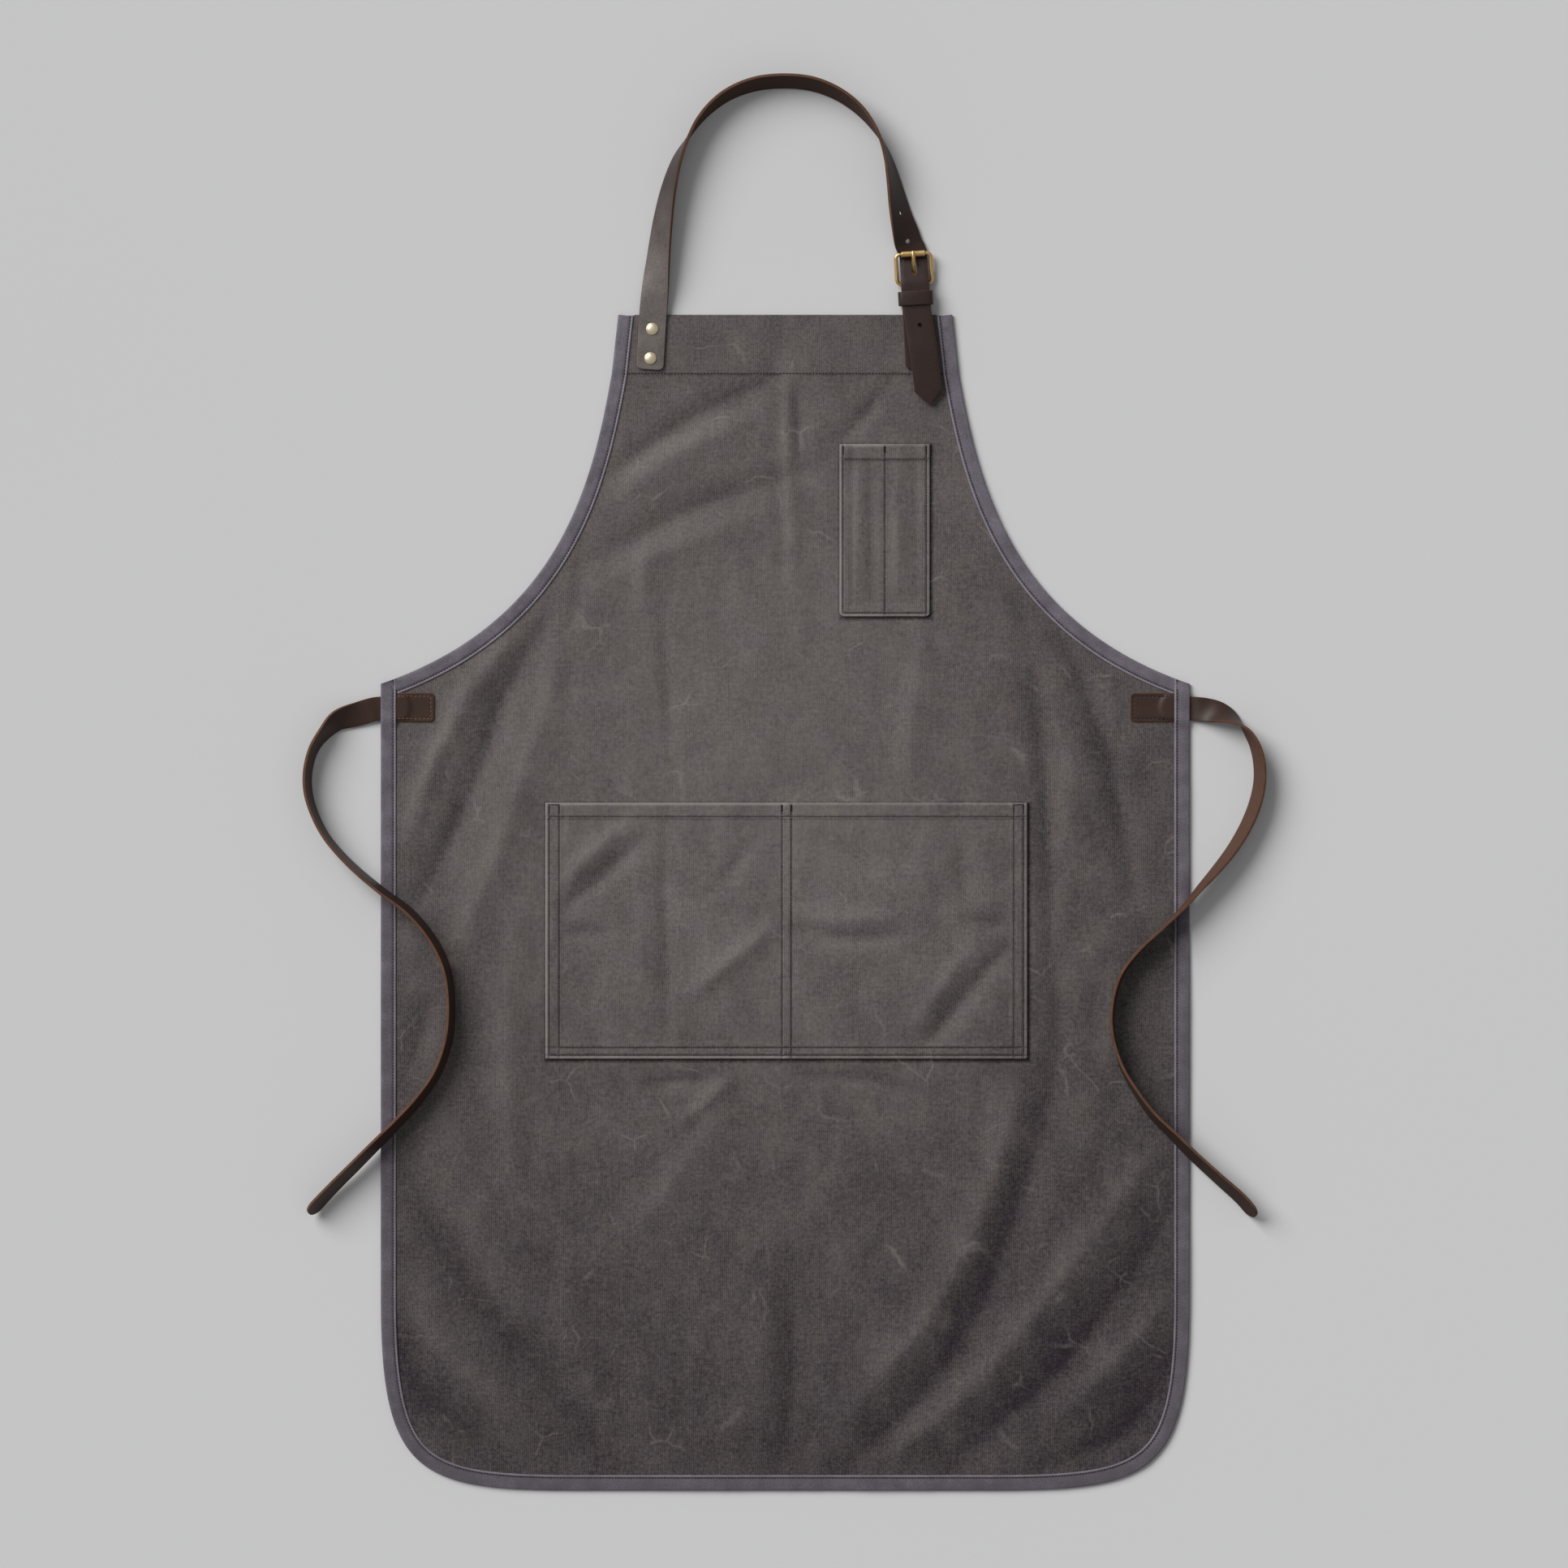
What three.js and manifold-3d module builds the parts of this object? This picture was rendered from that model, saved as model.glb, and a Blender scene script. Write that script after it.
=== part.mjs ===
// A butcher apron laid on its back with the bib away from the viewer. Millimetres, +Z up.
// +X is to the right, +Y runs from the bottom hem to the neck strap, and the floor is z = 0.
// Lengths along Y are measured down from the fold at the top of the bib, so the apron can be
// made longer or shorter without moving what is sewn and riveted to it.
import * as THREE from 'three';
import { mergeVertices } from 'three/addons/utils/BufferGeometryUtils.js';
import Module from 'manifold-3d';

const wasm = await Module();
wasm.setup();

// ---------------------------------------------------------------- driving dimensions

const GAP = 0.3;                 // clearance between pieces that touch
const CANVAS = 0.9;              // one layer of waxed canvas
const TAPE = 0.7;                // the twill tape that binds the edges

// Outline of the apron, over the binding
const APRON_LENGTH = 1000;
const BIB_TOP_HALF = 142;        // half the width at the top fold
const BIB_BASE_HALF = 147.5;     // half the width at the hem stitch
const BIB_HEM = 50;              // depth of the turned-down hem
const SIDE_HALF = 344;           // half the width across the sides
const ARMHOLE_DROP = 314;        // from the top fold to the side corners
const ARMHOLE_START_PULL = 95;   // how far the armhole curve keeps the bib's direction
const ARMHOLE_END_PULL = 162;    // and how far back it keeps the side corner's direction
const ARMHOLE_START_SLANT = THREE.MathUtils.degToRad(10);
const ARMHOLE_END_SLANT = THREE.MathUtils.degToRad(19);
const CORNER_RISE = 164;         // the bottom corners' height and run
const CORNER_RUN = 170;
const CORNER_RISE_PULL = 153;
const CORNER_RUN_PULL = 139;
const BINDING_WIDTH = 13;

// Patch pockets
const HAND_POCKET = { width: 410, height: 218, drop: 415, centre: 1, hem: 14, corner: 2 };
const CHEST_POCKET = { width: 77, height: 147, drop: 110, centre: 84.6, hem: 13.5, corner: 3 };

// Leather
const STRAP_WIDTH = 23.5;        // the neck strap, its chape and its tail
const STRAP_THICK = 2.8;
const CHAPE_THICK = 1.6;
const TIE_WIDTH = 20.5;
const TIE_THICK = 2.5;
const TIE_SKIVED = 1.0;          // the tie's end is pared thin where it is sewn in
const TIE_ANCHOR = 25.5;         // how far in from the side the tie's thin end reaches
const TAB_THICK = 1.0;
const TAB_MARGIN = 2.25;         // the tab beyond each edge of the tie under it
const TAB_WIDTH = TIE_WIDTH + 2 * TAB_MARGIN;
const TAB_CORNER = 3;
const TAB_REACH = { left: 45.7, right: 50.8 };   // from the side edge to the tab's inner end
const TAB_DROP = 334;            // from the top fold to the tab's middle
const TIE_FALL = 0.8;            // how far below the tab's middle the tie leaves
const KEEPER = { length: 11.7, thick: 1.6, slack: 1.5, below: 12.6 };
const HOLE_PITCH = 25;
const HOLE_BORE = 4;
const TAIL_POINT = 12;           // length of the tail's pointed tip
const END_CORNER = 4;            // rounding of the strap's riveted end

// Roller buckle
const BAR = 3.2;                 // wire of the frame
const BUCKLE_PITCH = 25.4;       // between the heel bar and the front bar
const BUCKLE_CORNER = 3;
const BUCKLE_SLACK = 1.5;        // room on each side of the strap inside the frame
const ROLLER = 5.7;
const ROLLER_LENGTH = 20;
const PRONG = { width: 3.3, thick: 2.2, eyeWall: 1.3 };
const PRONG_LIFT = 13;           // degrees that the prong can rise inside its hole

// Double-cap rivets
const RIVET = { cap: 10, dome: 2, shank: 3.2, backCap: 8, backThick: 0.75, socket: 1.2 };
const STRAP_RIVETS = [9.4, 34.4];    // from the strap's riveted end
const CHAPE_RIVETS = [38.5, 63.5];   // below the heel bar
const CHAPE_LENGTH = 72;

// Place of the buckle: the middle of the heel bar, and the lean of the chape below it
const HEEL = { x: 110.2, rise: 26.3 };
const CHAPE_LEAN = THREE.MathUtils.degToRad(3.2);

// ---------------------------------------------------------------- levels above the floor

const CANVAS_BOTTOM = CANVAS + GAP;               // the turned-down hem lies below the canvas
const CANVAS_TOP = CANVAS_BOTTOM + CANVAS;
const ON_CANVAS = CANVAS_TOP + GAP;               // where anything sewn on top starts
const BINDING_TOP = ON_CANVAS + TAPE;
const TIE_UNDER_TAB = ON_CANVAS + TIE_SKIVED;
const TAB_TOP = TIE_UNDER_TAB + GAP + TAB_THICK;
const BRIDGE_TOP = TAB_TOP + GAP + TAPE;          // the binding rises over the tab
const CHAPE_TOP = ON_CANVAS + 2 * CHAPE_THICK + GAP;
const HEEL_Z = ON_CANVAS + CHAPE_THICK + GAP / 2;
const FOLD_BORE = BAR / 2 + GAP;
const FOLD_RADIUS = FOLD_BORE + CHAPE_THICK;
const OVER_HEEL = HEEL_Z + FOLD_RADIUS + GAP;     // underside of the strap over the heel bar
const OVER_RIVETS = CHAPE_TOP + RIVET.dome + 2 * GAP;
const TAIL_LEVEL = Math.max(OVER_HEEL, OVER_RIVETS);
const ROLLER_Z = GAP + STRAP_THICK + 2 * GAP + ROLLER / 2;
const BUCKLE_TILT = Math.asin((ROLLER_Z - HEEL_Z) / BUCKLE_PITCH);
const BUCKLE_INNER = STRAP_WIDTH + 2 * BUCKLE_SLACK;

// ---------------------------------------------------------------- materials

const canvasCloth = new THREE.MeshStandardMaterial({ color: 0x544f4b, roughness: 0.85 });
const pocketCloth = new THREE.MeshStandardMaterial({ color: 0x5e5955, roughness: 0.85 });
const twillTape = new THREE.MeshStandardMaterial({ color: 0x575159, roughness: 0.9 });
const strapLeather = new THREE.MeshStandardMaterial({ color: 0x362b29, roughness: 0.5 });
const tieLeather = new THREE.MeshStandardMaterial({ color: 0x3c2a22, roughness: 0.55 });
const brass = new THREE.MeshStandardMaterial({ color: 0xb08d57, roughness: 0.3, metalness: 1 });
const paleBrass = new THREE.MeshStandardMaterial({ color: 0xd8c08a, roughness: 0.25, metalness: 1 });

// ---------------------------------------------------------------- solid tools

function solidOf(geometry) {
  const bare = geometry.clone();
  bare.deleteAttribute('normal');
  bare.deleteAttribute('uv');
  const merged = mergeVertices(bare, 1e-4);
  return new wasm.Manifold(new wasm.Mesh({
    numProp: 3,
    vertProperties: new Float32Array(merged.attributes.position.array),
    triVerts: new Uint32Array(merged.index.array),
  }));
}

function geometryOf(solid) {
  const mesh = solid.getMesh();
  const geometry = new THREE.BufferGeometry();
  geometry.setAttribute('position', new THREE.BufferAttribute(mesh.vertProperties, 3));
  geometry.setIndex(new THREE.BufferAttribute(mesh.triVerts, 1));
  return geometry;
}

const join = (first, ...rest) => rest.reduce((sum, next) => sum.add(next), first);
const cut = (first, ...rest) => rest.reduce((left, next) => left.subtract(next), first);

// A flat shape in XY, from one level to another
function slab(shape, low, high) {
  const geometry = new THREE.ExtrudeGeometry(shape, { depth: high - low, bevelEnabled: false });
  return solidOf(geometry.translate(0, 0, low));
}

function box(low, high) {
  const [x, y, z] = low.map((value, axis) => high[axis] - value);
  const geometry = new THREE.BoxGeometry(x, y, z);
  geometry.translate(low[0] + x / 2, low[1] + y / 2, low[2] + z / 2);
  return solidOf(geometry);
}

// An upright round cutter
function drill(x, y, bore, low, high) {
  const geometry = new THREE.CylinderGeometry(bore / 2, bore / 2, high - low, 16);
  geometry.rotateX(Math.PI / 2);
  return solidOf(geometry.translate(x, y, (low + high) / 2));
}

// A skin over rings of points. Each ring runs anticlockwise as seen from the next one.
function loft(rings, closed = false) {
  const sides = rings[0].length;
  const index = [];
  const spans = closed ? rings.length : rings.length - 1;
  for (let span = 0; span < spans; span += 1) {
    const here = span * sides;
    const next = ((span + 1) % rings.length) * sides;
    for (let side = 0; side < sides; side += 1) {
      const other = (side + 1) % sides;
      index.push(here + side, here + other, next + other);
      index.push(here + side, next + other, next + side);
    }
  }
  const last = (rings.length - 1) * sides;
  for (let side = 1; !closed && side < sides - 1; side += 1) {
    index.push(0, side + 1, side);
    index.push(last, last + side, last + side + 1);
  }
  const geometry = new THREE.BufferGeometry().setFromPoints(rings.flat());
  geometry.setIndex(index);
  return geometry;
}

function mirrored(geometry) {
  const copy = geometry.clone().scale(-1, 1, 1);
  const index = copy.index.array;
  for (let corner = 0; corner < index.length; corner += 3) {
    [index[corner], index[corner + 1]] = [index[corner + 1], index[corner]];
  }
  return copy;
}

// ---------------------------------------------------------------- the apron's outline

const down = (drop) => APRON_LENGTH - drop;
const point = (x, y) => new THREE.Vector2(x, y);

const bibTop = point(BIB_TOP_HALF, APRON_LENGTH);
const bibBase = point(BIB_BASE_HALF, down(BIB_HEM));
const sideCorner = point(SIDE_HALF, down(ARMHOLE_DROP));

function armholeCurve() {
  const start = point(Math.sin(ARMHOLE_START_SLANT), -Math.cos(ARMHOLE_START_SLANT));
  const end = point(-Math.cos(ARMHOLE_END_SLANT), Math.sin(ARMHOLE_END_SLANT));
  return new THREE.CubicBezierCurve(
    bibBase,
    bibBase.clone().addScaledVector(start, ARMHOLE_START_PULL),
    sideCorner.clone().addScaledVector(end, ARMHOLE_END_PULL),
    sideCorner,
  );
}

function bottomCorner() {
  return new THREE.CubicBezierCurve(
    point(SIDE_HALF, CORNER_RISE),
    point(SIDE_HALF, CORNER_RISE - CORNER_RISE_PULL),
    point(SIDE_HALF - CORNER_RUN + CORNER_RUN_PULL, 0),
    point(SIDE_HALF - CORNER_RUN, 0),
  );
}

// Points along a curve with the direction that leads into the cloth, on the right-hand side
function walk(curve, steps) {
  return Array.from({ length: steps + 1 }, (_, step) => {
    const ahead = curve.getTangent(step / steps);
    return { at: curve.getPoint(step / steps), inward: point(ahead.y, -ahead.x) };
  });
}

const flip = ({ at, inward }) => ({ at: point(-at.x, at.y), inward: point(-inward.x, inward.y) });

// The skirt's edge from the right side corner, round the bottom, to the left side corner.
// Its ends are mitred so that they follow the armhole.
function skirtWalk() {
  const mitre = { at: sideCorner, inward: point(-1, Math.tan(ARMHOLE_END_SLANT)) };
  const right = [mitre, ...walk(bottomCorner(), 16)];
  return [...right, ...right.map(flip).reverse()];
}

const bibWalk = walk(new THREE.LineCurve(bibTop, bibBase), 1);
const armholeWalk = walk(armholeCurve(), 24);

function band(edge, from, to) {
  const offset = (depth) => edge.map(({ at, inward }) => at.clone().addScaledVector(inward, depth));
  return new THREE.Shape([...offset(from), ...offset(to).reverse()]);
}

function outline() {
  const right = [bibTop, ...armholeWalk.map((step) => step.at)];
  const left = right.map(({ x, y }) => point(-x, y)).reverse();
  const bottom = skirtWalk().slice(1, -1).map((step) => step.at);
  return new THREE.Shape([...right, ...bottom, ...left]);
}

// ---------------------------------------------------------------- straps

// A strap's route is a list of stations [x, y, roll, low]: roll turns the strap from lying with
// its grain up towards standing on edge, in degrees, and low is the height of its lowest edge.
class Route {
  constructor(stations, width, thick) {
    this.width = width;
    this.thick = thick;
    const rolls = stations.map(([, , roll]) => THREE.MathUtils.degToRad(roll));
    this.rolls = new THREE.CatmullRomCurve3(
      rolls.map((roll) => new THREE.Vector3(roll, 0, 0)), false, 'catmullrom', 0.5);
    this.line = new THREE.CatmullRomCurve3(stations.map(([x, y, , low], station) => {
      const upright = width / 2 * Math.abs(Math.sin(rolls[station]));
      return new THREE.Vector3(x, y, low + upright + thick / 2 * Math.abs(Math.cos(rolls[station])));
    }));
    this.line.arcLengthDivisions = 1200;
    this.length = this.line.getLength();
  }

  // The middle of the strap at a distance along it, with its forward, grain and side directions
  frame(distance) {
    const share = THREE.MathUtils.clamp(distance / this.length, 0, 1);
    const forward = this.line.getTangentAt(share);
    const left = new THREE.Vector3(0, 0, 1).cross(forward).normalize();
    const up = forward.clone().cross(left);
    const roll = this.rolls.getPoint(this.line.getUtoTmapping(share)).x;
    const grain = up.multiplyScalar(Math.cos(roll)).addScaledVector(left, Math.sin(roll));
    return { at: this.line.getPointAt(share), forward, grain, side: forward.clone().cross(grain) };
  }

  // The strap as a solid. The shape functions give its width and thickness at a distance.
  solid(distances, widthAt, thickAt = () => this.thick) {
    return loft(distances.map((distance) => {
      const { at, grain, side } = this.frame(distance);
      const halfWidth = widthAt(distance) / 2;
      const halfThick = thickAt(distance) / 2;
      return [[1, -1], [1, 1], [-1, 1], [-1, -1]].map(([over, across]) => at.clone()
        .addScaledVector(grain, over * halfThick)
        .addScaledVector(side, across * halfWidth));
    }));
  }

  // A round hole punched square through the strap
  punch(distance, bore) {
    const { at, forward, grain, side } = this.frame(distance);
    const cutter = new THREE.CylinderGeometry(bore / 2, bore / 2, 3 * this.thick, 14);
    cutter.applyMatrix4(new THREE.Matrix4().makeBasis(forward, grain, side).setPosition(at));
    return solidOf(cutter);
  }
}

// Even distances along a strap, closer together over each end's shaped length
function spread(length, steps, startShape, endShape) {
  const middle = length - startShape - endShape;
  const shaped = [0, 0.05, 0.15, 0.3, 0.5, 0.75];
  return [
    ...shaped.map((share) => share * startShape),
    ...Array.from({ length: steps + 1 }, (_, step) => startShape + middle * step / steps),
    ...shaped.map((share) => length - share * endShape).reverse(),
  ];
}

// Width of a strap end that is rounded over a given radius at its corners
function roundedEnd(width, radius, fromEnd) {
  const share = THREE.MathUtils.clamp(1 - fromEnd / radius, 0, 0.98);
  return width - 2 * radius * (1 - Math.sqrt(1 - share * share));
}

// ---------------------------------------------------------------- buckle

// Everything on the chape is worked out with the heel bar's middle above the origin, +Y towards
// the front bar. This places it on the apron.
const chapePlace = new THREE.Matrix4()
  .makeRotationZ(CHAPE_LEAN)
  .setPosition(HEEL.x, APRON_LENGTH + HEEL.rise, 0);

function onChape(across, along) {
  const placed = new THREE.Vector3(across, along, 0).applyMatrix4(chapePlace);
  return [placed.x, placed.y];
}

// A shape drawn with +X along the strap and +Y up, given a width across the strap
function sideOn(shape, width) {
  const geometry = new THREE.ExtrudeGeometry(shape, { depth: width, bevelEnabled: false });
  const across = new THREE.Vector3(0, 1, 0);
  const up = new THREE.Vector3(0, 0, 1);
  geometry.translate(0, 0, -width / 2);
  return geometry.applyMatrix4(new THREE.Matrix4().makeBasis(across, up, new THREE.Vector3(1, 0, 0)));
}

// The chape's hairpin section: two layers that open into a fold round the heel bar
function chapeSection() {
  const lower = ON_CANVAS;
  const inner = lower + CHAPE_THICK;
  const opening = 1.7 * FOLD_RADIUS;
  const turn = THREE.MathUtils.degToRad(120);
  const shape = new THREE.Shape();
  shape.moveTo(-CHAPE_LENGTH, lower);
  shape.lineTo(-opening, lower);
  shape.absarc(0, HEEL_Z, FOLD_RADIUS, -turn, turn, false);
  shape.lineTo(-opening, CHAPE_TOP);
  shape.lineTo(-CHAPE_LENGTH, CHAPE_TOP);
  shape.lineTo(-CHAPE_LENGTH, inner + GAP);
  shape.lineTo(-opening, inner + GAP);
  shape.absarc(0, HEEL_Z, FOLD_BORE, turn, -turn, true);
  shape.lineTo(-opening, inner);
  shape.lineTo(-CHAPE_LENGTH, inner);
  return shape;
}

function chape() {
  const slotHalf = PRONG.width / 2 + 1.5 * GAP;
  const slot = box([-slotHalf, -1.2 * FOLD_RADIUS, 0], [slotHalf, 2 * FOLD_RADIUS, TAIL_LEVEL]);
  const bores = CHAPE_RIVETS.map((drop) => drill(0, -drop, RIVET.shank + 2 * GAP, 0, TAIL_LEVEL));
  return cut(solidOf(sideOn(chapeSection(), STRAP_WIDTH)), slot, ...bores);
}

function buckleFrame() {
  const halfWidth = (BUCKLE_INNER + BAR) / 2;
  const sides = 10;
  const arcSteps = 5;
  const rings = [];
  const corners = [[1, 1], [-1, 1], [-1, -1], [1, -1]];
  corners.forEach(([x, y], corner) => {
    const middle = point(
      x * (halfWidth - BUCKLE_CORNER),
      BUCKLE_PITCH / 2 + y * (BUCKLE_PITCH / 2 - BUCKLE_CORNER),
    );
    for (let step = 0; step <= arcSteps; step += 1) {
      const angle = (corner + step / arcSteps) * Math.PI / 2;
      const outward = new THREE.Vector3(Math.cos(angle), Math.sin(angle), 0);
      const at = new THREE.Vector3(middle.x, middle.y, 0).addScaledVector(outward, BUCKLE_CORNER);
      rings.push(Array.from({ length: sides }, (_, side) => {
        const turn = side / sides * 2 * Math.PI;
        const rise = new THREE.Vector3(0, 0, Math.cos(turn) * BAR / 2);
        return at.clone().addScaledVector(outward, Math.sin(turn) * BAR / 2).add(rise);
      }));
    }
  });
  return loft(rings, true);
}

function roller() {
  const bore = BAR / 2 + GAP;
  const half = ROLLER_LENGTH / 2;
  const edge = 0.5;
  const profile = [
    point(bore, -half), point(ROLLER / 2 - edge, -half), point(ROLLER / 2, -half + edge),
    point(ROLLER / 2, half - edge), point(ROLLER / 2 - edge, half), point(bore, half),
    point(bore, -half),
  ];
  return new THREE.LatheGeometry(profile, 20).rotateZ(Math.PI / 2);
}

// The prong's eye turns on the heel bar. Its blade passes below the strap, up through the hole
// and over the roller. Places are measured from the heel bar's middle.
function prong(grow = 0) {
  const eye = new THREE.Shape().absarc(0, 0, FOLD_BORE + PRONG.eyeWall + grow, 0, 2 * Math.PI);
  eye.holes.push(new THREE.Path().absarc(0, 0, FOLD_BORE - grow, 0, 2 * Math.PI, true));
  const crest = ROLLER_Z - HEEL_Z + ROLLER / 2 + GAP + PRONG.thick / 2;
  const blade = new THREE.CatmullRomCurve3([
    [FOLD_BORE + PRONG.eyeWall / 2, -0.2], [8.2, -0.5], [12.6, 1.7], [16.8, crest - 1.8],
    [21, crest - 0.1], [BUCKLE_PITCH, crest], [BUCKLE_PITCH + 2.2, crest - 0.3],
  ].map(([along, up]) => new THREE.Vector3(0, along, up)));
  const steps = 16;
  const rings = Array.from({ length: steps + 1 }, (_, step) => {
    const forward = blade.getTangent(step / steps);
    const up = new THREE.Vector3(1, 0, 0).cross(forward);
    const narrow = step > steps - 2 ? 0.75 : 1;
    return Array.from({ length: 8 }, (_, side) => {
      const turn = (side + 0.5) / 8 * 2 * Math.PI;
      const round = 1 / Math.cos(Math.PI / 8);
      return blade.getPoint(step / steps)
        .addScaledVector(up, Math.cos(turn) * round * (PRONG.thick / 2 * narrow + grow))
        .add(new THREE.Vector3(Math.sin(turn) * round * (PRONG.width / 2 * narrow + grow), 0, 0));
    });
  });
  return join(solidOf(sideOn(eye, PRONG.width + 2 * grow)), solidOf(loft(rings)));
}

// What the prong sweeps as it rises, with room round it, where it lies on the apron
function prongRoom() {
  const room = [];
  for (let lift = 0; lift <= PRONG_LIFT; lift += PRONG_LIFT / 4) {
    const swung = geometryOf(prong(2 * GAP));
    swung.rotateX(THREE.MathUtils.degToRad(lift));
    room.push(solidOf(swung.translate(0, 0, HEEL_Z).applyMatrix4(chapePlace)));
  }
  return room;
}

function keeper() {
  const insideHalf = STRAP_WIDTH / 2 + KEEPER.slack;
  const low = ON_CANVAS - GAP;
  const high = TAIL_LEVEL + STRAP_THICK + 2 * GAP;
  const ring = roundedRectangle(insideHalf + KEEPER.thick, low - KEEPER.thick, high + KEEPER.thick, 2.4);
  ring.holes.push(roundedRectangle(insideHalf, low, high, 0.8));
  const geometry = new THREE.ExtrudeGeometry(ring, {
    depth: KEEPER.length, bevelEnabled: false, curveSegments: 4,
  });
  geometry.translate(0, 0, -KEEPER.length / 2);
  geometry.rotateX(Math.PI / 2);
  return geometry.translate(0, -KEEPER.below, 0);
}

function roundedRectangle(half, low, high, radius) {
  const shape = new THREE.Shape();
  shape.absarc(half - radius, high - radius, radius, 0, Math.PI / 2);
  shape.absarc(-half + radius, high - radius, radius, Math.PI / 2, Math.PI);
  shape.absarc(-half + radius, low + radius, radius, Math.PI, 1.5 * Math.PI);
  shape.absarc(half - radius, low + radius, radius, 1.5 * Math.PI, 2 * Math.PI);
  return shape;
}

// ---------------------------------------------------------------- neck strap

// From the riveted end on the left, round the neck loop, through the buckle, to the tail's tip
function neckRoute() {
  const loop = [
    [-115.2, -46.5, 0, ON_CANVAS], [-114.2, -30, 0, ON_CANVAS], [-113.2, -12, 0, ON_CANVAS],
    [-112.1, 3, 2, ON_CANVAS], [-108.1, 43.5, 33, 0.8], [-103.9, 78.7, 48, 0.4],
    [-98.8, 107, 60, 0.4], [-91.4, 132, 73, 0.4], [-82.6, 149.5, 87, 0.4], [-73.8, 163.7, 96, 0.4],
    [-61.8, 176.8, 103, 0.4], [-46.6, 187.6, 108, 0.4], [-25, 195.6, 112, 0.4],
    [0.3, 198, 113, 0.4], [24, 195.4, 112, 0.4], [45, 187, 109, 0.4], [62, 174.6, 104, 0.4],
    [73.4, 161.4, 96, 0.4], [81.2, 148.6, 87, 0.4], [87.6, 132, 76, 0.4], [92.2, 113, 63, 0.4],
    [96, 94, 49, 0.4], [99.4, 79.5, 36, 0.4], [102.7, 68, 18, 0.4],
    [105.2, 59.5, 4, 0.4],
  ].map(([x, rise, roll, low]) => [x, APRON_LENGTH + rise, roll, low]);
  const tail = [
    [-0.7, BUCKLE_PITCH + 3.5, 0, GAP], [0, BUCKLE_PITCH - 2.6, 0, GAP], [0.1, 13.5, 0, 3.4],
    [0.2, 2.2, 0, OVER_HEEL + 0.1], [0.3, -5, 0, TAIL_LEVEL], [0.5, -13, 0, TAIL_LEVEL],
    [0.7, -22, 0, TAIL_LEVEL], [1.9, -34, 0, TAIL_LEVEL], [4.4, -63, 0, TAIL_LEVEL],
    [6.2, -90, 0, 6.2], [7, -103.4, 0, 4.6],
  ].map(([across, along, roll, low]) => [...onChape(across, along), roll, low]);
  return new Route([...loop, ...tail], STRAP_WIDTH, STRAP_THICK);
}

function neckStrap(route) {
  const narrowTip = 1.2;
  const widthAt = (distance) => {
    const fromTip = route.length - distance;
    const point = narrowTip + (STRAP_WIDTH - narrowTip) * Math.min(1, fromTip / TAIL_POINT);
    return Math.min(point, roundedEnd(STRAP_WIDTH, END_CORNER, distance));
  };
  const strap = solidOf(route.solid(spread(route.length, 84, END_CORNER, TAIL_POINT), widthAt));
  const prongHole = nearestDistance(route, onChape(0, 13));
  const holes = [-2, -1, 1, 2].map((step) => route.punch(prongHole + step * HOLE_PITCH, HOLE_BORE));
  const bores = STRAP_RIVETS.map((distance) => {
    const { at } = route.frame(distance);
    return drill(at.x, at.y, RIVET.shank + 2 * GAP, 0, TAIL_LEVEL);
  });
  return cut(strap, ...holes, ...bores, ...prongRoom());
}

// The distance along a route at which it passes closest to a place on the floor plan
function nearestDistance(route, [x, y]) {
  let best = 0;
  let bestGap = Infinity;
  for (let distance = 0; distance <= route.length; distance += 0.25) {
    const { at } = route.frame(distance);
    const away = Math.hypot(at.x - x, at.y - y);
    if (away < bestGap) {
      bestGap = away;
      best = distance;
    }
  }
  return best;
}

// ---------------------------------------------------------------- waist ties and tabs

// Each tie runs from its thin end under the tab, out through the binding, along the floor in a
// loop and back across the apron's side, standing on edge. Stations are [out, fall, roll, low]:
// how far outside the side edge, how far below the tab's middle, then as in Route. The left tie
// keeps the grain of its outer loop towards the apron, and the right tie turns it away.
const ACROSS_SIDE = BINDING_TOP + GAP;
const LEFT_TIE = [
  [-TIE_ANCHOR, 0.4, 0, ON_CANVAS], [-12, 0.6, 0, ON_CANVAS], [0, 1.1, 0, ON_CANVAS],
  [6, 1.8, 1, 1.6], [19, 5.6, 10, 0.4], [36, 11, 38, 0.4], [47, 21.5, 62, 0.4],
  [56.9, 36.2, 73, 0.4], [61.8, 55.9, 76, 0.4], [61.2, 72.8, 77, 0.4], [56.3, 89.8, 79, 0.4],
  [47.2, 108, 80, 0.6], [34.8, 123.6, 80, 1.8], [19.1, 139.1, 79, 3.2],
  [-0.4, 155.3, 78, ACROSS_SIDE], [-25.3, 174.3, 77, ACROSS_SIDE], [-44.6, 197.8, 77, ACROSS_SIDE],
  [-56.2, 222.7, 77, ACROSS_SIDE], [-60.1, 251.7, 77, ACROSS_SIDE],
  [-58.2, 280.7, 76, ACROSS_SIDE], [-48.5, 310, 75, ACROSS_SIDE],
  [-32.9, 333.2, 73, ACROSS_SIDE], [-15.6, 352.5, 71, ACROSS_SIDE], [0.5, 368.6, 69, ACROSS_SIDE],
  [21.3, 389.5, 67, 3.1], [42.6, 410.8, 66, 1.3], [60.6, 430.2, 63, 0.4],
];
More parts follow.
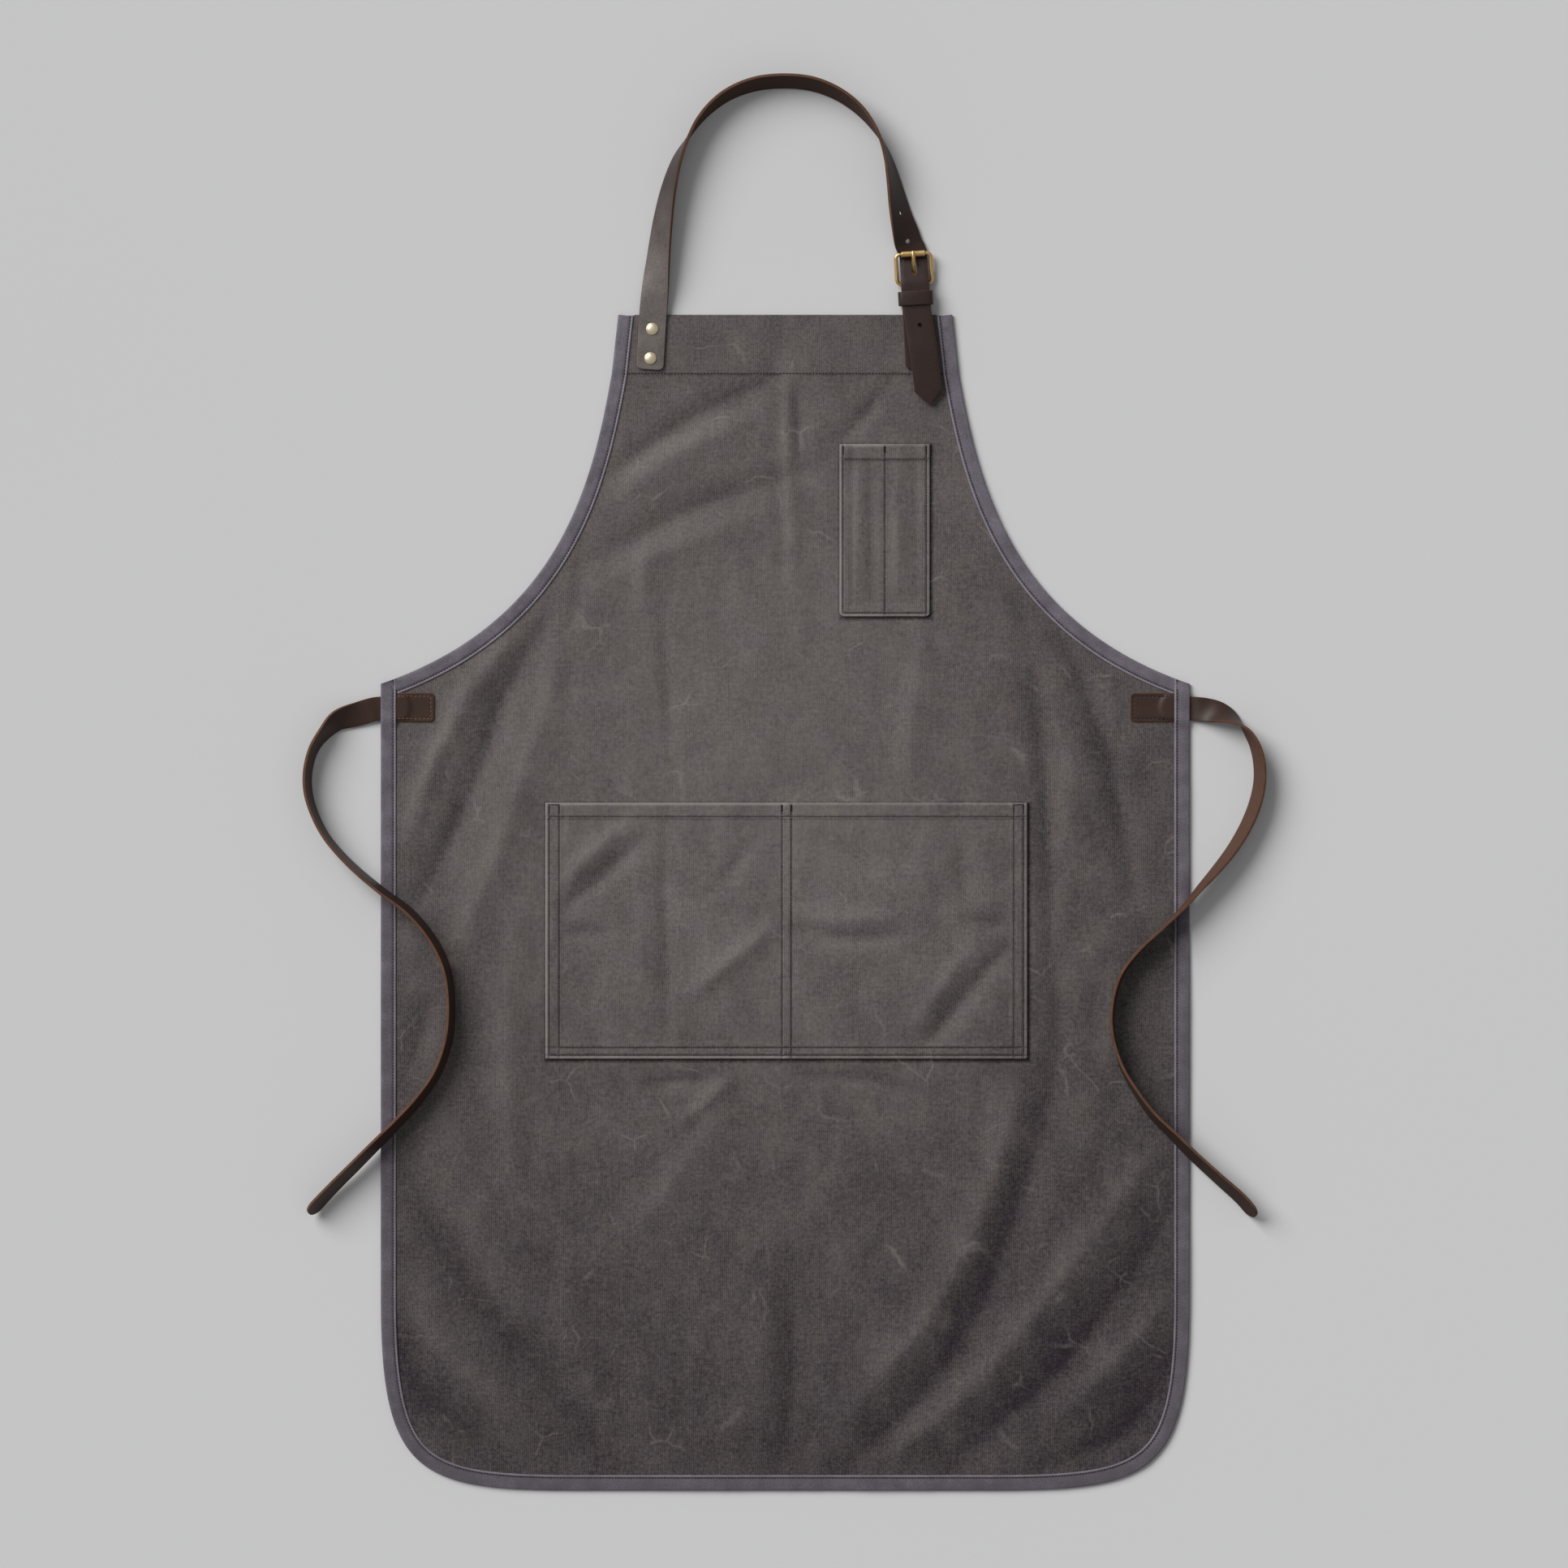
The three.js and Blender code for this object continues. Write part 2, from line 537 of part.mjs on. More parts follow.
const RIGHT_TIE = [
  [-TIE_ANCHOR, 0.4, 0, ON_CANVAS], [-12, 0.6, 0, ON_CANVAS], [0, 1, 0, ON_CANVAS],
  [6, 1.4, 1, 1.6], [16, 2.6, 14, 0.4], [27, 5.2, 38, 0.4], [38.5, 10.8, 70, 0.4],
  [48, 20, 98, 0.4], [55.4, 33, 108, 0.4], [59, 48, 112, 0.4], [59.2, 64, 113, 0.4],
  [55.4, 82, 114, 0.4], [47.6, 101, 113, 0.4], [36, 120.5, 110, 1.4], [21, 139.5, 105, 2.8],
  [8.4, 153.6, 99, ACROSS_SIDE], [-4.4, 168.6, 94, ACROSS_SIDE], [-23.8, 188, 88, ACROSS_SIDE],
  [-45.2, 209.2, 84, ACROSS_SIDE], [-58.7, 228.6, 82, ACROSS_SIDE],
  [-65.5, 253.6, 82, ACROSS_SIDE], [-65.5, 277, 84, ACROSS_SIDE], [-58.7, 304, 92, ACROSS_SIDE],
  [-47, 325.5, 98, ACROSS_SIDE], [-31.7, 346.7, 103, ACROSS_SIDE],
  [-14.2, 364.1, 107, ACROSS_SIDE], [1.4, 379.7, 110, ACROSS_SIDE], [24.6, 401, 112, 3],
  [44, 418.5, 114, 1.2], [55.6, 432.5, 114, 0.4],
];

function tieRoute(stations, side) {
  const placed = stations.map(([out, fall, roll, low]) => [
    side * (SIDE_HALF + out), down(TAB_DROP) - fall, roll, low,
  ]);
  return new Route(placed, TIE_WIDTH, TIE_THICK);
}

function waistTie(stations, side) {
  const route = tieRoute(stations.map(([out, fall, roll, low], station) => {
    const rise = station < 3 ? (TIE_SKIVED - TIE_THICK) / 2 : 0;
    return [out, fall, roll, low + rise];
  }), side);
  const end = TIE_WIDTH / 2;
  const skive = TIE_ANCHOR + 1.5;
  const thickAt = (distance) => {
    const share = THREE.MathUtils.clamp((distance - skive) / 7, 0, 1);
    return TIE_SKIVED + (TIE_THICK - TIE_SKIVED) * share;
  };
  const widthAt = (distance) => Math.min(
    roundedEnd(TIE_WIDTH, end * 0.8, distance),
    roundedEnd(TIE_WIDTH, end * 0.95, route.length - distance),
  );
  return route.solid(spread(route.length, 66, end, end), widthAt, thickAt);
}

// A leather tab sewn over the tie's thin end, drawn on the right side
function tieTab(reach) {
  const middle = down(TAB_DROP);
  const inner = SIDE_HALF - reach;
  const outer = SIDE_HALF - TAPE - GAP;
  const shape = new THREE.Shape();
  shape.moveTo(outer, middle - TAB_WIDTH / 2);
  shape.lineTo(outer, middle + TAB_WIDTH / 2);
  shape.absarc(inner + TAB_CORNER, middle + TAB_WIDTH / 2 - TAB_CORNER, TAB_CORNER,
    Math.PI / 2, Math.PI);
  shape.absarc(inner + TAB_CORNER, middle - TAB_WIDTH / 2 + TAB_CORNER, TAB_CORNER,
    Math.PI, 1.5 * Math.PI);
  const binding = slab(band(armholeWalk, -5, BINDING_WIDTH + GAP), 0, TAB_TOP + GAP);
  return cut(slab(shape, ON_CANVAS, TAB_TOP), tiePassage(), binding);
}

// Room for the thin end of a tie, through the tab and the binding's fold
function tiePassage() {
  const middle = down(TAB_DROP) - TIE_FALL;
  const half = TIE_WIDTH / 2 + 3 * GAP;
  return box(
    [SIDE_HALF - TIE_ANCHOR - GAP, middle - half, ON_CANVAS - GAP],
    [SIDE_HALF + 1, middle + half, TIE_UNDER_TAB + GAP],
  );
}

// ---------------------------------------------------------------- canvas, binding and pockets

function rivetPlaces(route) {
  const strap = STRAP_RIVETS.map((distance) => {
    const { at } = route.frame(distance);
    return [at.x, at.y];
  });
  return { strap, chape: CHAPE_RIVETS.map((drop) => onChape(0, -drop)) };
}

// The canvas, with the bib's top folded down behind it
function bodyPanel(rivets) {
  const beyond = -5;
  const edgeCuts = [armholeWalk, armholeWalk.map(flip), bibWalk, bibWalk.map(flip), skirtWalk()]
    .map((edge) => slab(band(edge, beyond, TAPE + GAP), 0, BINDING_TOP));
  const canvas = cut(slab(outline(), CANVAS_BOTTOM, CANVAS_TOP), ...edgeCuts);
  const inset = BINDING_WIDTH + 2 * GAP;
  const hemHalf = BIB_TOP_HALF - inset;
  const hem = box([-hemHalf, down(BIB_HEM), 0], [hemHalf, APRON_LENGTH, CANVAS]);
  const fold = box([-hemHalf, down(CANVAS), 0], [hemHalf, APRON_LENGTH, CANVAS_TOP]);
  const bores = rivets.flatMap(([x, y]) => [
    drill(x, y, RIVET.shank + 2 * GAP, -1, BINDING_TOP),
    drill(x, y, RIVET.backCap + 2 * GAP, -1, CANVAS + GAP / 2),
  ]);
  return cut(join(canvas, hem, fold), ...bores);
}

// Tape folded over an edge: a leg on the front, a leg on the back and the fold between them
function foldedTape(edge) {
  return join(
    slab(band(edge, 0, BINDING_WIDTH), ON_CANVAS, BINDING_TOP),
    slab(band(edge, 0, BINDING_WIDTH), 0, TAPE),
    slab(band(edge, 0, TAPE), 0, BINDING_TOP),
  );
}

function armholeBinding() {
  const underSkirt = slab(band(skirtWalk(), -5, BINDING_WIDTH + GAP), -1, BINDING_TOP + 1);
  const aboveBib = slab(band(bibWalk, -5, BINDING_WIDTH + 5), -1, BINDING_TOP + 1);
  return cut(foldedTape(armholeWalk), underSkirt, aboveBib.translate([0, -GAP, 0]), tiePassage());
}

// Where the skirt's binding rises over a tab and lets the tie out, on the right side
function bridge() {
  const middle = down(TAB_DROP);
  const half = TAB_WIDTH / 2 + GAP;
  const inner = SIDE_HALF - BINDING_WIDTH;
  const arch = box([inner, middle - half - TAPE, ON_CANVAS], [SIDE_HALF, middle + half + TAPE, BRIDGE_TOP]);
  const room = box([inner - 1, middle - half, CANVAS_TOP], [SIDE_HALF - TAPE, middle + half, TAB_TOP + GAP]);
  return { arch, room };
}

function skirtBinding() {
  const { arch, room } = bridge();
  const both = (solid) => [solid, solidOf(mirrored(geometryOf(solid)))];
  const tape = join(foldedTape(skirtWalk()), ...both(arch));
  return cut(tape, ...both(room), ...both(tiePassage()));
}

// A patch pocket, with its upper edge turned in
function pocket({ width, height, drop, centre, hem, corner }) {
  const left = centre - width / 2;
  const right = centre + width / 2;
  const top = down(drop);
  const bottom = top - height;
  const shape = new THREE.Shape();
  shape.moveTo(right, top);
  shape.lineTo(left, top);
  shape.absarc(left + corner, bottom + corner, corner, Math.PI, 1.5 * Math.PI);
  shape.absarc(right - corner, bottom + corner, corner, 1.5 * Math.PI, 2 * Math.PI);
  const turnedIn = box([left, top - hem, ON_CANVAS], [right, top, ON_CANVAS + 2 * CANVAS]);
  return join(slab(shape, ON_CANVAS, ON_CANVAS + CANVAS), turnedIn);
}

// ---------------------------------------------------------------- rivets

// The domed cap, with the socket that takes the post
function rivetCap() {
  const socket = RIVET.shank / 2 + GAP;
  const profile = [point(0, RIVET.socket), point(socket, RIVET.socket), point(socket, 0)];
  const steps = 7;
  for (let step = 0; step <= steps; step += 1) {
    const angle = step / steps * Math.PI / 2;
    profile.push(point(RIVET.cap / 2 * Math.cos(angle), 0.3 + (RIVET.dome - 0.3) * Math.sin(angle)));
  }
  profile.splice(3, 0, point(RIVET.cap / 2, 0));
  return new THREE.LatheGeometry(profile, 20).rotateX(Math.PI / 2);
}

// The post with its flat back cap
function rivetPost(leatherTop) {
  const shank = RIVET.shank / 2;
  const tip = leatherTop + GAP + RIVET.socket - GAP;
  const profile = [
    point(0, 0), point(RIVET.backCap / 2 - 0.2, 0), point(RIVET.backCap / 2, 0.2),
    point(RIVET.backCap / 2, RIVET.backThick), point(shank, RIVET.backThick), point(shank, tip),
    point(0, tip),
  ];
  return new THREE.LatheGeometry(profile, 16).rotateX(Math.PI / 2);
}

// ---------------------------------------------------------------- the assembly

const apron = new THREE.Group();

function add(parent, name, shape, material) {
  const geometry = shape.isBufferGeometry ? shape : geometryOf(shape);
  const mesh = new THREE.Mesh(geometry, material);
  mesh.name = name;
  parent.add(mesh);
  return mesh;
}

function addRivets(parent, where, places, leatherTop) {
  places.forEach(([x, y], row) => {
    const name = `${where}_rivet_${row === 0 ? 'first' : 'second'}`;
    add(parent, `${name}_post`, rivetPost(leatherTop), brass).position.set(x, y, 0);
    add(parent, `${name}_cap`, rivetCap(), paleBrass).position.set(x, y, leatherTop + GAP);
  });
}

const route = neckRoute();
const rivets = rivetPlaces(route);

add(apron, 'body_panel', bodyPanel([...rivets.strap, ...rivets.chape]), canvasCloth);
add(apron, 'hand_pocket', pocket(HAND_POCKET), pocketCloth);
add(apron, 'chest_pocket', pocket(CHEST_POCKET), pocketCloth);
add(apron, 'skirt_binding', skirtBinding(), twillTape);
for (const [side, place] of [['right', (geometry) => geometry], ['left', mirrored]]) {
  add(apron, `bib_binding_${side}`, place(geometryOf(foldedTape(bibWalk))), twillTape);
  add(apron, `armhole_binding_${side}`, place(geometryOf(armholeBinding())), twillTape);
  add(apron, `tie_tab_${side}`, place(geometryOf(tieTab(TAB_REACH[side]))), tieLeather);
}
const ties = [
  add(apron, 'waist_tie_left', waistTie(LEFT_TIE, -1), tieLeather),
  add(apron, 'waist_tie_right', waistTie(RIGHT_TIE, 1), tieLeather),
];

add(apron, 'neck_strap', neckStrap(route), strapLeather);
addRivets(apron, 'strap', rivets.strap, ON_CANVAS + STRAP_THICK);

const chapeGroup = new THREE.Group();
chapeGroup.position.set(HEEL.x, APRON_LENGTH + HEEL.rise, 0);
chapeGroup.rotation.z = CHAPE_LEAN;
apron.add(chapeGroup);
add(chapeGroup, 'buckle_chape', chape(), strapLeather);
add(chapeGroup, 'strap_keeper', keeper(), strapLeather);
addRivets(chapeGroup, 'chape', CHAPE_RIVETS.map((drop) => [0, -drop]), CHAPE_TOP);
add(chapeGroup, 'buckle_prong', prong(), brass).position.z = HEEL_Z;

const tilted = new THREE.Group();
tilted.position.z = HEEL_Z;
tilted.rotation.x = BUCKLE_TILT;
chapeGroup.add(tilted);
add(tilted, 'buckle_frame', buckleFrame(), brass);
add(tilted, 'buckle_roller', roller(), brass).position.y = BUCKLE_PITCH;

// The origin is under the middle of the apron, without its ties
const extent = new THREE.Box3();
apron.updateMatrixWorld(true);
apron.traverse((piece) => {
  if (piece.isMesh && !ties.includes(piece)) extent.expandByObject(piece, true);
});
apron.position.y = -(extent.min.y + extent.max.y) / 2;

export default apron;
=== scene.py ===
"""A butcher apron laid flat: waxed canvas with bound edges and patch pockets, a leather neck
strap with a roller buckle, and two leather waist ties. Lengths are in metres."""
import math

import bpy
import numpy as np
from bpy.props import FloatProperty, FloatVectorProperty, PointerProperty
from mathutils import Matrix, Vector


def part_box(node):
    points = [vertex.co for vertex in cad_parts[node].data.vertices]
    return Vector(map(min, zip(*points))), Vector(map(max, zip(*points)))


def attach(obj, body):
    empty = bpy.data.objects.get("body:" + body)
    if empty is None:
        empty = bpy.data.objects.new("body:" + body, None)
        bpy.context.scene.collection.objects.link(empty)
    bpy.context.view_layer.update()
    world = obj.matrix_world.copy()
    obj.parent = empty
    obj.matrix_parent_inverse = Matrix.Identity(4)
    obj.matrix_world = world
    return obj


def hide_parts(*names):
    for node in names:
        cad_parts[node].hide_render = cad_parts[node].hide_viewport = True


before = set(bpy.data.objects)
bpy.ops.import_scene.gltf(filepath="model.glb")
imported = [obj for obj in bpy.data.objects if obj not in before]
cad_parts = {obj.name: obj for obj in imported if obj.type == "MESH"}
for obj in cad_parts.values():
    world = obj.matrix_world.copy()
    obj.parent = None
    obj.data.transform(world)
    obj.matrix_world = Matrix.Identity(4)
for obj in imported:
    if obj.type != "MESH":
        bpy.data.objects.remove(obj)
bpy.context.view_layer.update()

bl_info = {
    "name": "Butcher Apron",
    "version": (1, 0, 0),
    "blender": (4, 5, 0),
    "location": "3D View > Sidebar > Apron",
    "description": "Builds the canvas, pockets, bindings, leather and brass of a butcher apron",
    "category": "Add Mesh",
}

MM = 0.001
HEM_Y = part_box("skirt_binding")[0][1]        # the bottom hem. Sewing places are measured up from it

# The camera looks straight down on this place, from this height, and sees this width
VIEW_MIDDLE = (-1.0 * MM, HEM_Y + 0.6008)
VIEW_HEIGHT = 7.0
VIEW_WIDTH = 1.3342

# The outline, over the binding
LENGTH = 1.0
BIB_HEM = 50 * MM
BIB_SEAM_Y = LENGTH - BIB_HEM                # the stitches of the bib's hem
BIB_TOP = np.array([0.142, LENGTH])
BIB_BASE = np.array([0.1475, BIB_SEAM_Y])
SIDE = np.array([0.344, LENGTH - 0.314])
ARMHOLE_SLANTS = np.radians([10, 19])        # the armhole's two ends, from the bib and from level
ARMHOLE_PULLS = (0.095, 0.162)
CORNER = np.array([0.170, 0.164])            # run and rise of the bottom corners
CORNER_PULLS = (0.153, 0.139)
BIB_JOINT = math.radians(8.1)                # the slant at which the bib's and armholes' tapes meet

# Cloth, leather and tape, and the levels that they lie at
GAP = 0.3 * MM
CANVAS = 0.9 * MM
TAPE = 0.7 * MM
TAPE_WIDTH = 13 * MM
CANVAS_TOP = 2.1 * MM
ON_CANVAS = 2.4 * MM
STRAP_WIDTH = 23.5 * MM
STRAP_THICK = 2.8 * MM
CHAPE_THICK = 1.6 * MM
CHAPE_TOP = 5.9 * MM
TIE_WIDTH = 20.5 * MM
TIE_THICK = 2.5 * MM
TIE_SKIVED = 1.0 * MM
TIE_ANCHOR = 25.5 * MM
TAB_Y = LENGTH - 0.334
TAB_HALF = 12.5 * MM
TAB_REACH = {"left": 45.7 * MM, "right": 50.8 * MM}
TAPE_GROOVE = 10.6 * MM                      # from the edge to the stitches of a binding
TAPE_GROOVE_TOP = 2.82 * MM
THREAD_LIFT = 0.12 * MM                      # how far a stitch stands above the cloth

# The buckle: the middle of its heel bar, and the lean of the chape below it
HEEL = np.array([0.1102, LENGTH + 0.0263])
HEEL_Z = 4.15 * MM
CHAPE_LEAN = math.radians(3.2)
BUCKLE_TILT = math.radians(5.42)
BUCKLE_PITCH = 25.4 * MM
FRONT_BAR_Z = 6.55 * MM                      # the height of its front bar's middle
FRAME_HALF = 14.85 * MM
FRAME_CORNER = 3.6 * MM
BAR = 3.2 * MM
ROLLER = 5.7 * MM
ROLLER_HALF = 10 * MM
SLOT_HALF = 2.2 * MM                         # half the width of the prong's slots

# Folds in the canvas: the places that each one passes through, its width, its height and how far
# it leans to one side. A fold with lean 0 is a ridge, or a valley where its height is negative.
# With lean 1 it is raised along its left side and hollow along its right.
CANVAS_FOLDS = [
    ([(-0.015, 0.943), (-0.080, 0.912), (-0.146, 0.866)], 11, -1.0, 0),
    ([(-0.020, 0.916), (-0.085, 0.886), (-0.150, 0.838)], 17, 0.7, 0),
    ([(0.032, 0.872), (-0.060, 0.842), (-0.110, 0.820), (-0.172, 0.786)], 12, -0.7, 0),
    ([(-0.020, 0.830), (-0.100, 0.800), (-0.160, 0.768)], 15, 0.4, 0),
    ([(0.094, 0.946), (0.068, 0.915), (0.046, 0.892)], 7, -0.8, 0),
    ([(0.002, 0.998), (0.000, 0.900), (0.004, 0.760)], 8, 0.6, 0.6),
    ([(0.010, 0.940), (0.012, 0.880)], 7, -0.5, 0),
    ([(-0.206, 0.735), (-0.236, 0.680), (-0.262, 0.610), (-0.296, 0.530), (-0.318, 0.492)], 12, -1.3, 0),
    ([(-0.236, 0.722), (-0.276, 0.668), (-0.306, 0.600), (-0.322, 0.548)], 10, 0.9, 0),
    ([(-0.176, 0.738), (-0.206, 0.660), (-0.232, 0.580), (-0.262, 0.500), (-0.286, 0.452)], 14, 0.7, 0),
    ([(-0.172, 0.800), (-0.182, 0.730), (-0.188, 0.660)], 8, -0.4, 0),
    ([(-0.104, 0.750), (-0.102, 0.690), (-0.098, 0.610)], 6, -0.5, 0.3),
    ([(-0.122, 0.800), (-0.120, 0.750)], 9, 0.5, 0),
    ([(0.118, 0.742), (0.110, 0.660), (0.104, 0.600)], 10, 0.5, 0),
    ([(0.200, 0.760), (0.212, 0.680), (0.222, 0.580), (0.226, 0.480), (0.232, 0.400)], 10, -0.8, 0),
    ([(0.232, 0.400), (0.226, 0.340), (0.205, 0.262), (0.176, 0.180), (0.130, 0.095),
      (0.052, 0.016)], 17, -1.1, 0),
    ([(0.196, 0.330), (0.168, 0.240), (0.130, 0.160), (0.060, 0.070)], 16, 0.9, 0),
    ([(0.234, 0.730), (0.262, 0.660), (0.282, 0.590), (0.296, 0.510)], 11, -1.1, 0),
    ([(0.272, 0.690), (0.296, 0.630)], 10, 0.4, 0),
    ([(0.322, 0.300), (0.276, 0.235), (0.230, 0.175), (0.172, 0.100), (0.104, 0.040)], 16, 1.0, 0),
    ([(0.344, 0.262), (0.300, 0.190), (0.246, 0.118), (0.190, 0.062), (0.140, 0.018)], 17, -1.1, 0),
    ([(0.336, 0.180), (0.300, 0.130), (0.230, 0.060)], 14, 0.7, 0),
    ([(0.332, 0.115), (0.290, 0.050), (0.220, 0.018)], 16, -0.9, 0),
    ([(-0.318, 0.262), (-0.282, 0.190), (-0.232, 0.130), (-0.190, 0.080), (-0.130, 0.015)], 16, -1.1, 0),
    ([(-0.300, 0.300), (-0.240, 0.190), (-0.180, 0.120)], 18, 0.6, 0),
    ([(-0.322, 0.170), (-0.280, 0.108), (-0.210, 0.050)], 15, 0.8, 0),
    ([(-0.334, 0.140), (-0.305, 0.080), (-0.240, 0.028)], 15, -1.2, 0),
    ([(0.004, 0.190), (0.006, 0.100), (-0.002, 0.012)], 13, -0.9, 0),
    ([(-0.020, 0.140), (-0.026, 0.060)], 13, 0.4, 0),
    ([(-0.052, 0.330), (-0.078, 0.290), (-0.130, 0.215)], 14, 0.5, 0),
    ([(-0.120, 0.345), (-0.060, 0.352)], 6, -0.7, 0),
    ([(-0.045, 0.350), (-0.090, 0.312)], 6, 0.7, 0),
    ([(0.020, 0.352), (0.070, 0.350), (0.112, 0.338)], 6, -0.7, 0),
    ([(-0.230, 0.480), (-0.236, 0.380), (-0.232, 0.270)], 15, 0.5, 0),
    ([(0.262, 0.460), (0.276, 0.400), (0.262, 0.330)], 13, 0.5, 0),
    ([(0.236, 0.540), (0.246, 0.640)], 12, 0.4, 0),
    ([(-0.300, 0.420), (-0.322, 0.350)], 12, -0.6, 0),
]
POCKET_FOLDS = [
    ([(-0.120, 0.555), (-0.150, 0.528), (-0.190, 0.494)], 8, -0.9, 0),
    ([(-0.130, 0.572), (-0.160, 0.545), (-0.194, 0.515)], 9, 0.7, 0),
    ([(-0.101, 0.575), (-0.102, 0.500), (-0.100, 0.380)], 7, -0.6, 0),
    ([(-0.122, 0.560), (-0.124, 0.400)], 9, 0.4, 0),
    ([(-0.010, 0.482), (-0.040, 0.455), (-0.078, 0.424)], 11, 1.0, 0),
    ([(0.010, 0.478), (0.052, 0.470), (0.100, 0.472)], 7, -0.8, 0),
    ([(0.014, 0.490), (0.060, 0.486), (0.096, 0.488)], 8, 0.5, 0),
    ([(0.186, 0.460), (0.160, 0.430), (0.120, 0.378)], 8, -1.1, 0),
    ([(0.160, 0.464), (0.134, 0.430), (0.108, 0.392)], 9, 0.6, 0),
    ([(0.150, 0.486), (0.190, 0.480)], 6, -0.6, 0),
    ([(0.030, 0.560), (0.080, 0.530)], 14, -0.6, 0),
    ([(0.148, 0.560), (0.152, 0.500)], 12, -0.5, 0),
    ([(-0.190, 0.474), (-0.150, 0.476)], 7, -0.5, 0),
    ([(-0.020, 0.560), (-0.044, 0.530), (-0.070, 0.500)], 8, -0.4, 0),
    ([(0.060, 0.450), (0.064, 0.390)], 10, -0.4, 0),
]
CHEST_FOLDS = [
    ([(0.0610, 0.880), (0.0600, 0.770)], 5, 0.5, 0),
    ([(0.0730, 0.875), (0.0740, 0.760)], 4, -0.5, 0),
    ([(0.0960, 0.876), (0.0950, 0.756)], 5, 0.4, 0),
    ([(0.1120, 0.872), (0.1130, 0.765)], 5, -0.3, 0),
]

# Pockets: each is a patch with stitched seams. Seams are measured in from the patch's edges.
POCKETS = {
    "hand_pocket": {
        "low": (-0.204, 0.367), "high": (0.206, 0.585), "hem": 14 * MM, "hem_seam": 12 * MM,
        "side_seams": (3.4 * MM, 11.7 * MM), "bottom_seams": (3.2 * MM, 9.7 * MM),
        "dividers": (-2.7 * MM, 5.2 * MM), "allowance": 13 * MM, "corner": 1.5 * MM,
        "folds": POCKET_FOLDS,
    },
    "chest_pocket": {
        "low": (0.0461, 0.743), "high": (0.1231, 0.890), "hem": 14.6 * MM, "hem_seam": 13.2 * MM,
        "side_seams": (3.0 * MM,), "bottom_seams": (3.0 * MM,),
        "dividers": (84.6 * MM,), "allowance": 9 * MM, "corner": 4 * MM,
        "folds": CHEST_FOLDS,
    },
}

# Strap stations: x, y, roll in degrees and the height of the lowest edge. Roll 0 lies with the
# grain up. The neck strap runs from its riveted end, round the neck, to the tail's tip.
NECK_LOOP = [
    (-0.1152, 0.9535, 0, 0.0024), (-0.1142, 0.9700, 0, 0.0024), (-0.1132, 0.9880, 0, 0.0024),
    (-0.1121, 1.0030, 2, 0.0024), (-0.1081, 1.0435, 33, 0.0008), (-0.1039, 1.0787, 48, 0.0004),
    (-0.0988, 1.1070, 60, 0.0004), (-0.0914, 1.1320, 73, 0.0004), (-0.0826, 1.1495, 87, 0.0004),
    (-0.0738, 1.1637, 96, 0.0004), (-0.0618, 1.1768, 103, 0.0004), (-0.0466, 1.1876, 108, 0.0004),
    (-0.0250, 1.1956, 112, 0.0004), (0.0003, 1.1980, 113, 0.0004), (0.0240, 1.1954, 112, 0.0004),
    (0.0450, 1.1870, 109, 0.0004), (0.0620, 1.1746, 104, 0.0004), (0.0734, 1.1614, 96, 0.0004),
    (0.0812, 1.1486, 87, 0.0004), (0.0876, 1.1320, 76, 0.0004), (0.0922, 1.1130, 63, 0.0004),
    (0.0960, 1.0940, 49, 0.0004), (0.0994, 1.0795, 36, 0.0004), (0.1027, 1.0680, 18, 0.0004),
    (0.1052, 1.0595, 4, 0.0004),
]
# The tail's stations give the distance across and along from the heel bar instead
NECK_TAIL = [
    (-0.0007, 0.0289, 0, 0.0003), (0, 0.0228, 0, 0.0003), (0.0001, 0.0135, 0, 0.0034),
    (0.0002, 0.0022, 0, 0.00805), (0.0003, -0.0050, 0, 0.0085), (0.0005, -0.0130, 0, 0.0085),
    (0.0007, -0.0220, 0, 0.0085), (0.0019, -0.0340, 0, 0.0085), (0.0044, -0.0630, 0, 0.0085),
    (0.0062, -0.0900, 0, 0.0062), (0.0070, -0.1034, 0, 0.0046),
]
# The ties' stations give how far out from the side edge and how far below the tab's middle
LEFT_TIE = [
    (-0.0255, 0.0004, 0, 0.0024), (-0.0120, 0.0006, 0, 0.0024), (0, 0.0011, 0, 0.0024),
    (0.0060, 0.0018, 1, 0.0016), (0.0190, 0.0056, 10, 0.0004), (0.0360, 0.0110, 38, 0.0004),
    (0.0470, 0.0215, 62, 0.0004), (0.0569, 0.0362, 73, 0.0004), (0.0618, 0.0559, 76, 0.0004),
    (0.0612, 0.0728, 77, 0.0004), (0.0563, 0.0898, 79, 0.0004), (0.0472, 0.1080, 80, 0.0006),
    (0.0348, 0.1236, 80, 0.0018), (0.0191, 0.1391, 79, 0.0032), (-0.0004, 0.1553, 78, 0.0034),
    (-0.0253, 0.1743, 77, 0.0034), (-0.0446, 0.1978, 77, 0.0034), (-0.0562, 0.2227, 77, 0.0034),
    (-0.0601, 0.2517, 77, 0.0034), (-0.0582, 0.2807, 76, 0.0034), (-0.0485, 0.3100, 75, 0.0034),
    (-0.0329, 0.3332, 73, 0.0034), (-0.0156, 0.3525, 71, 0.0034), (0.0005, 0.3686, 69, 0.0034),
    (0.0213, 0.3895, 67, 0.0031), (0.0426, 0.4108, 66, 0.0013), (0.0606, 0.4302, 63, 0.0004),
]
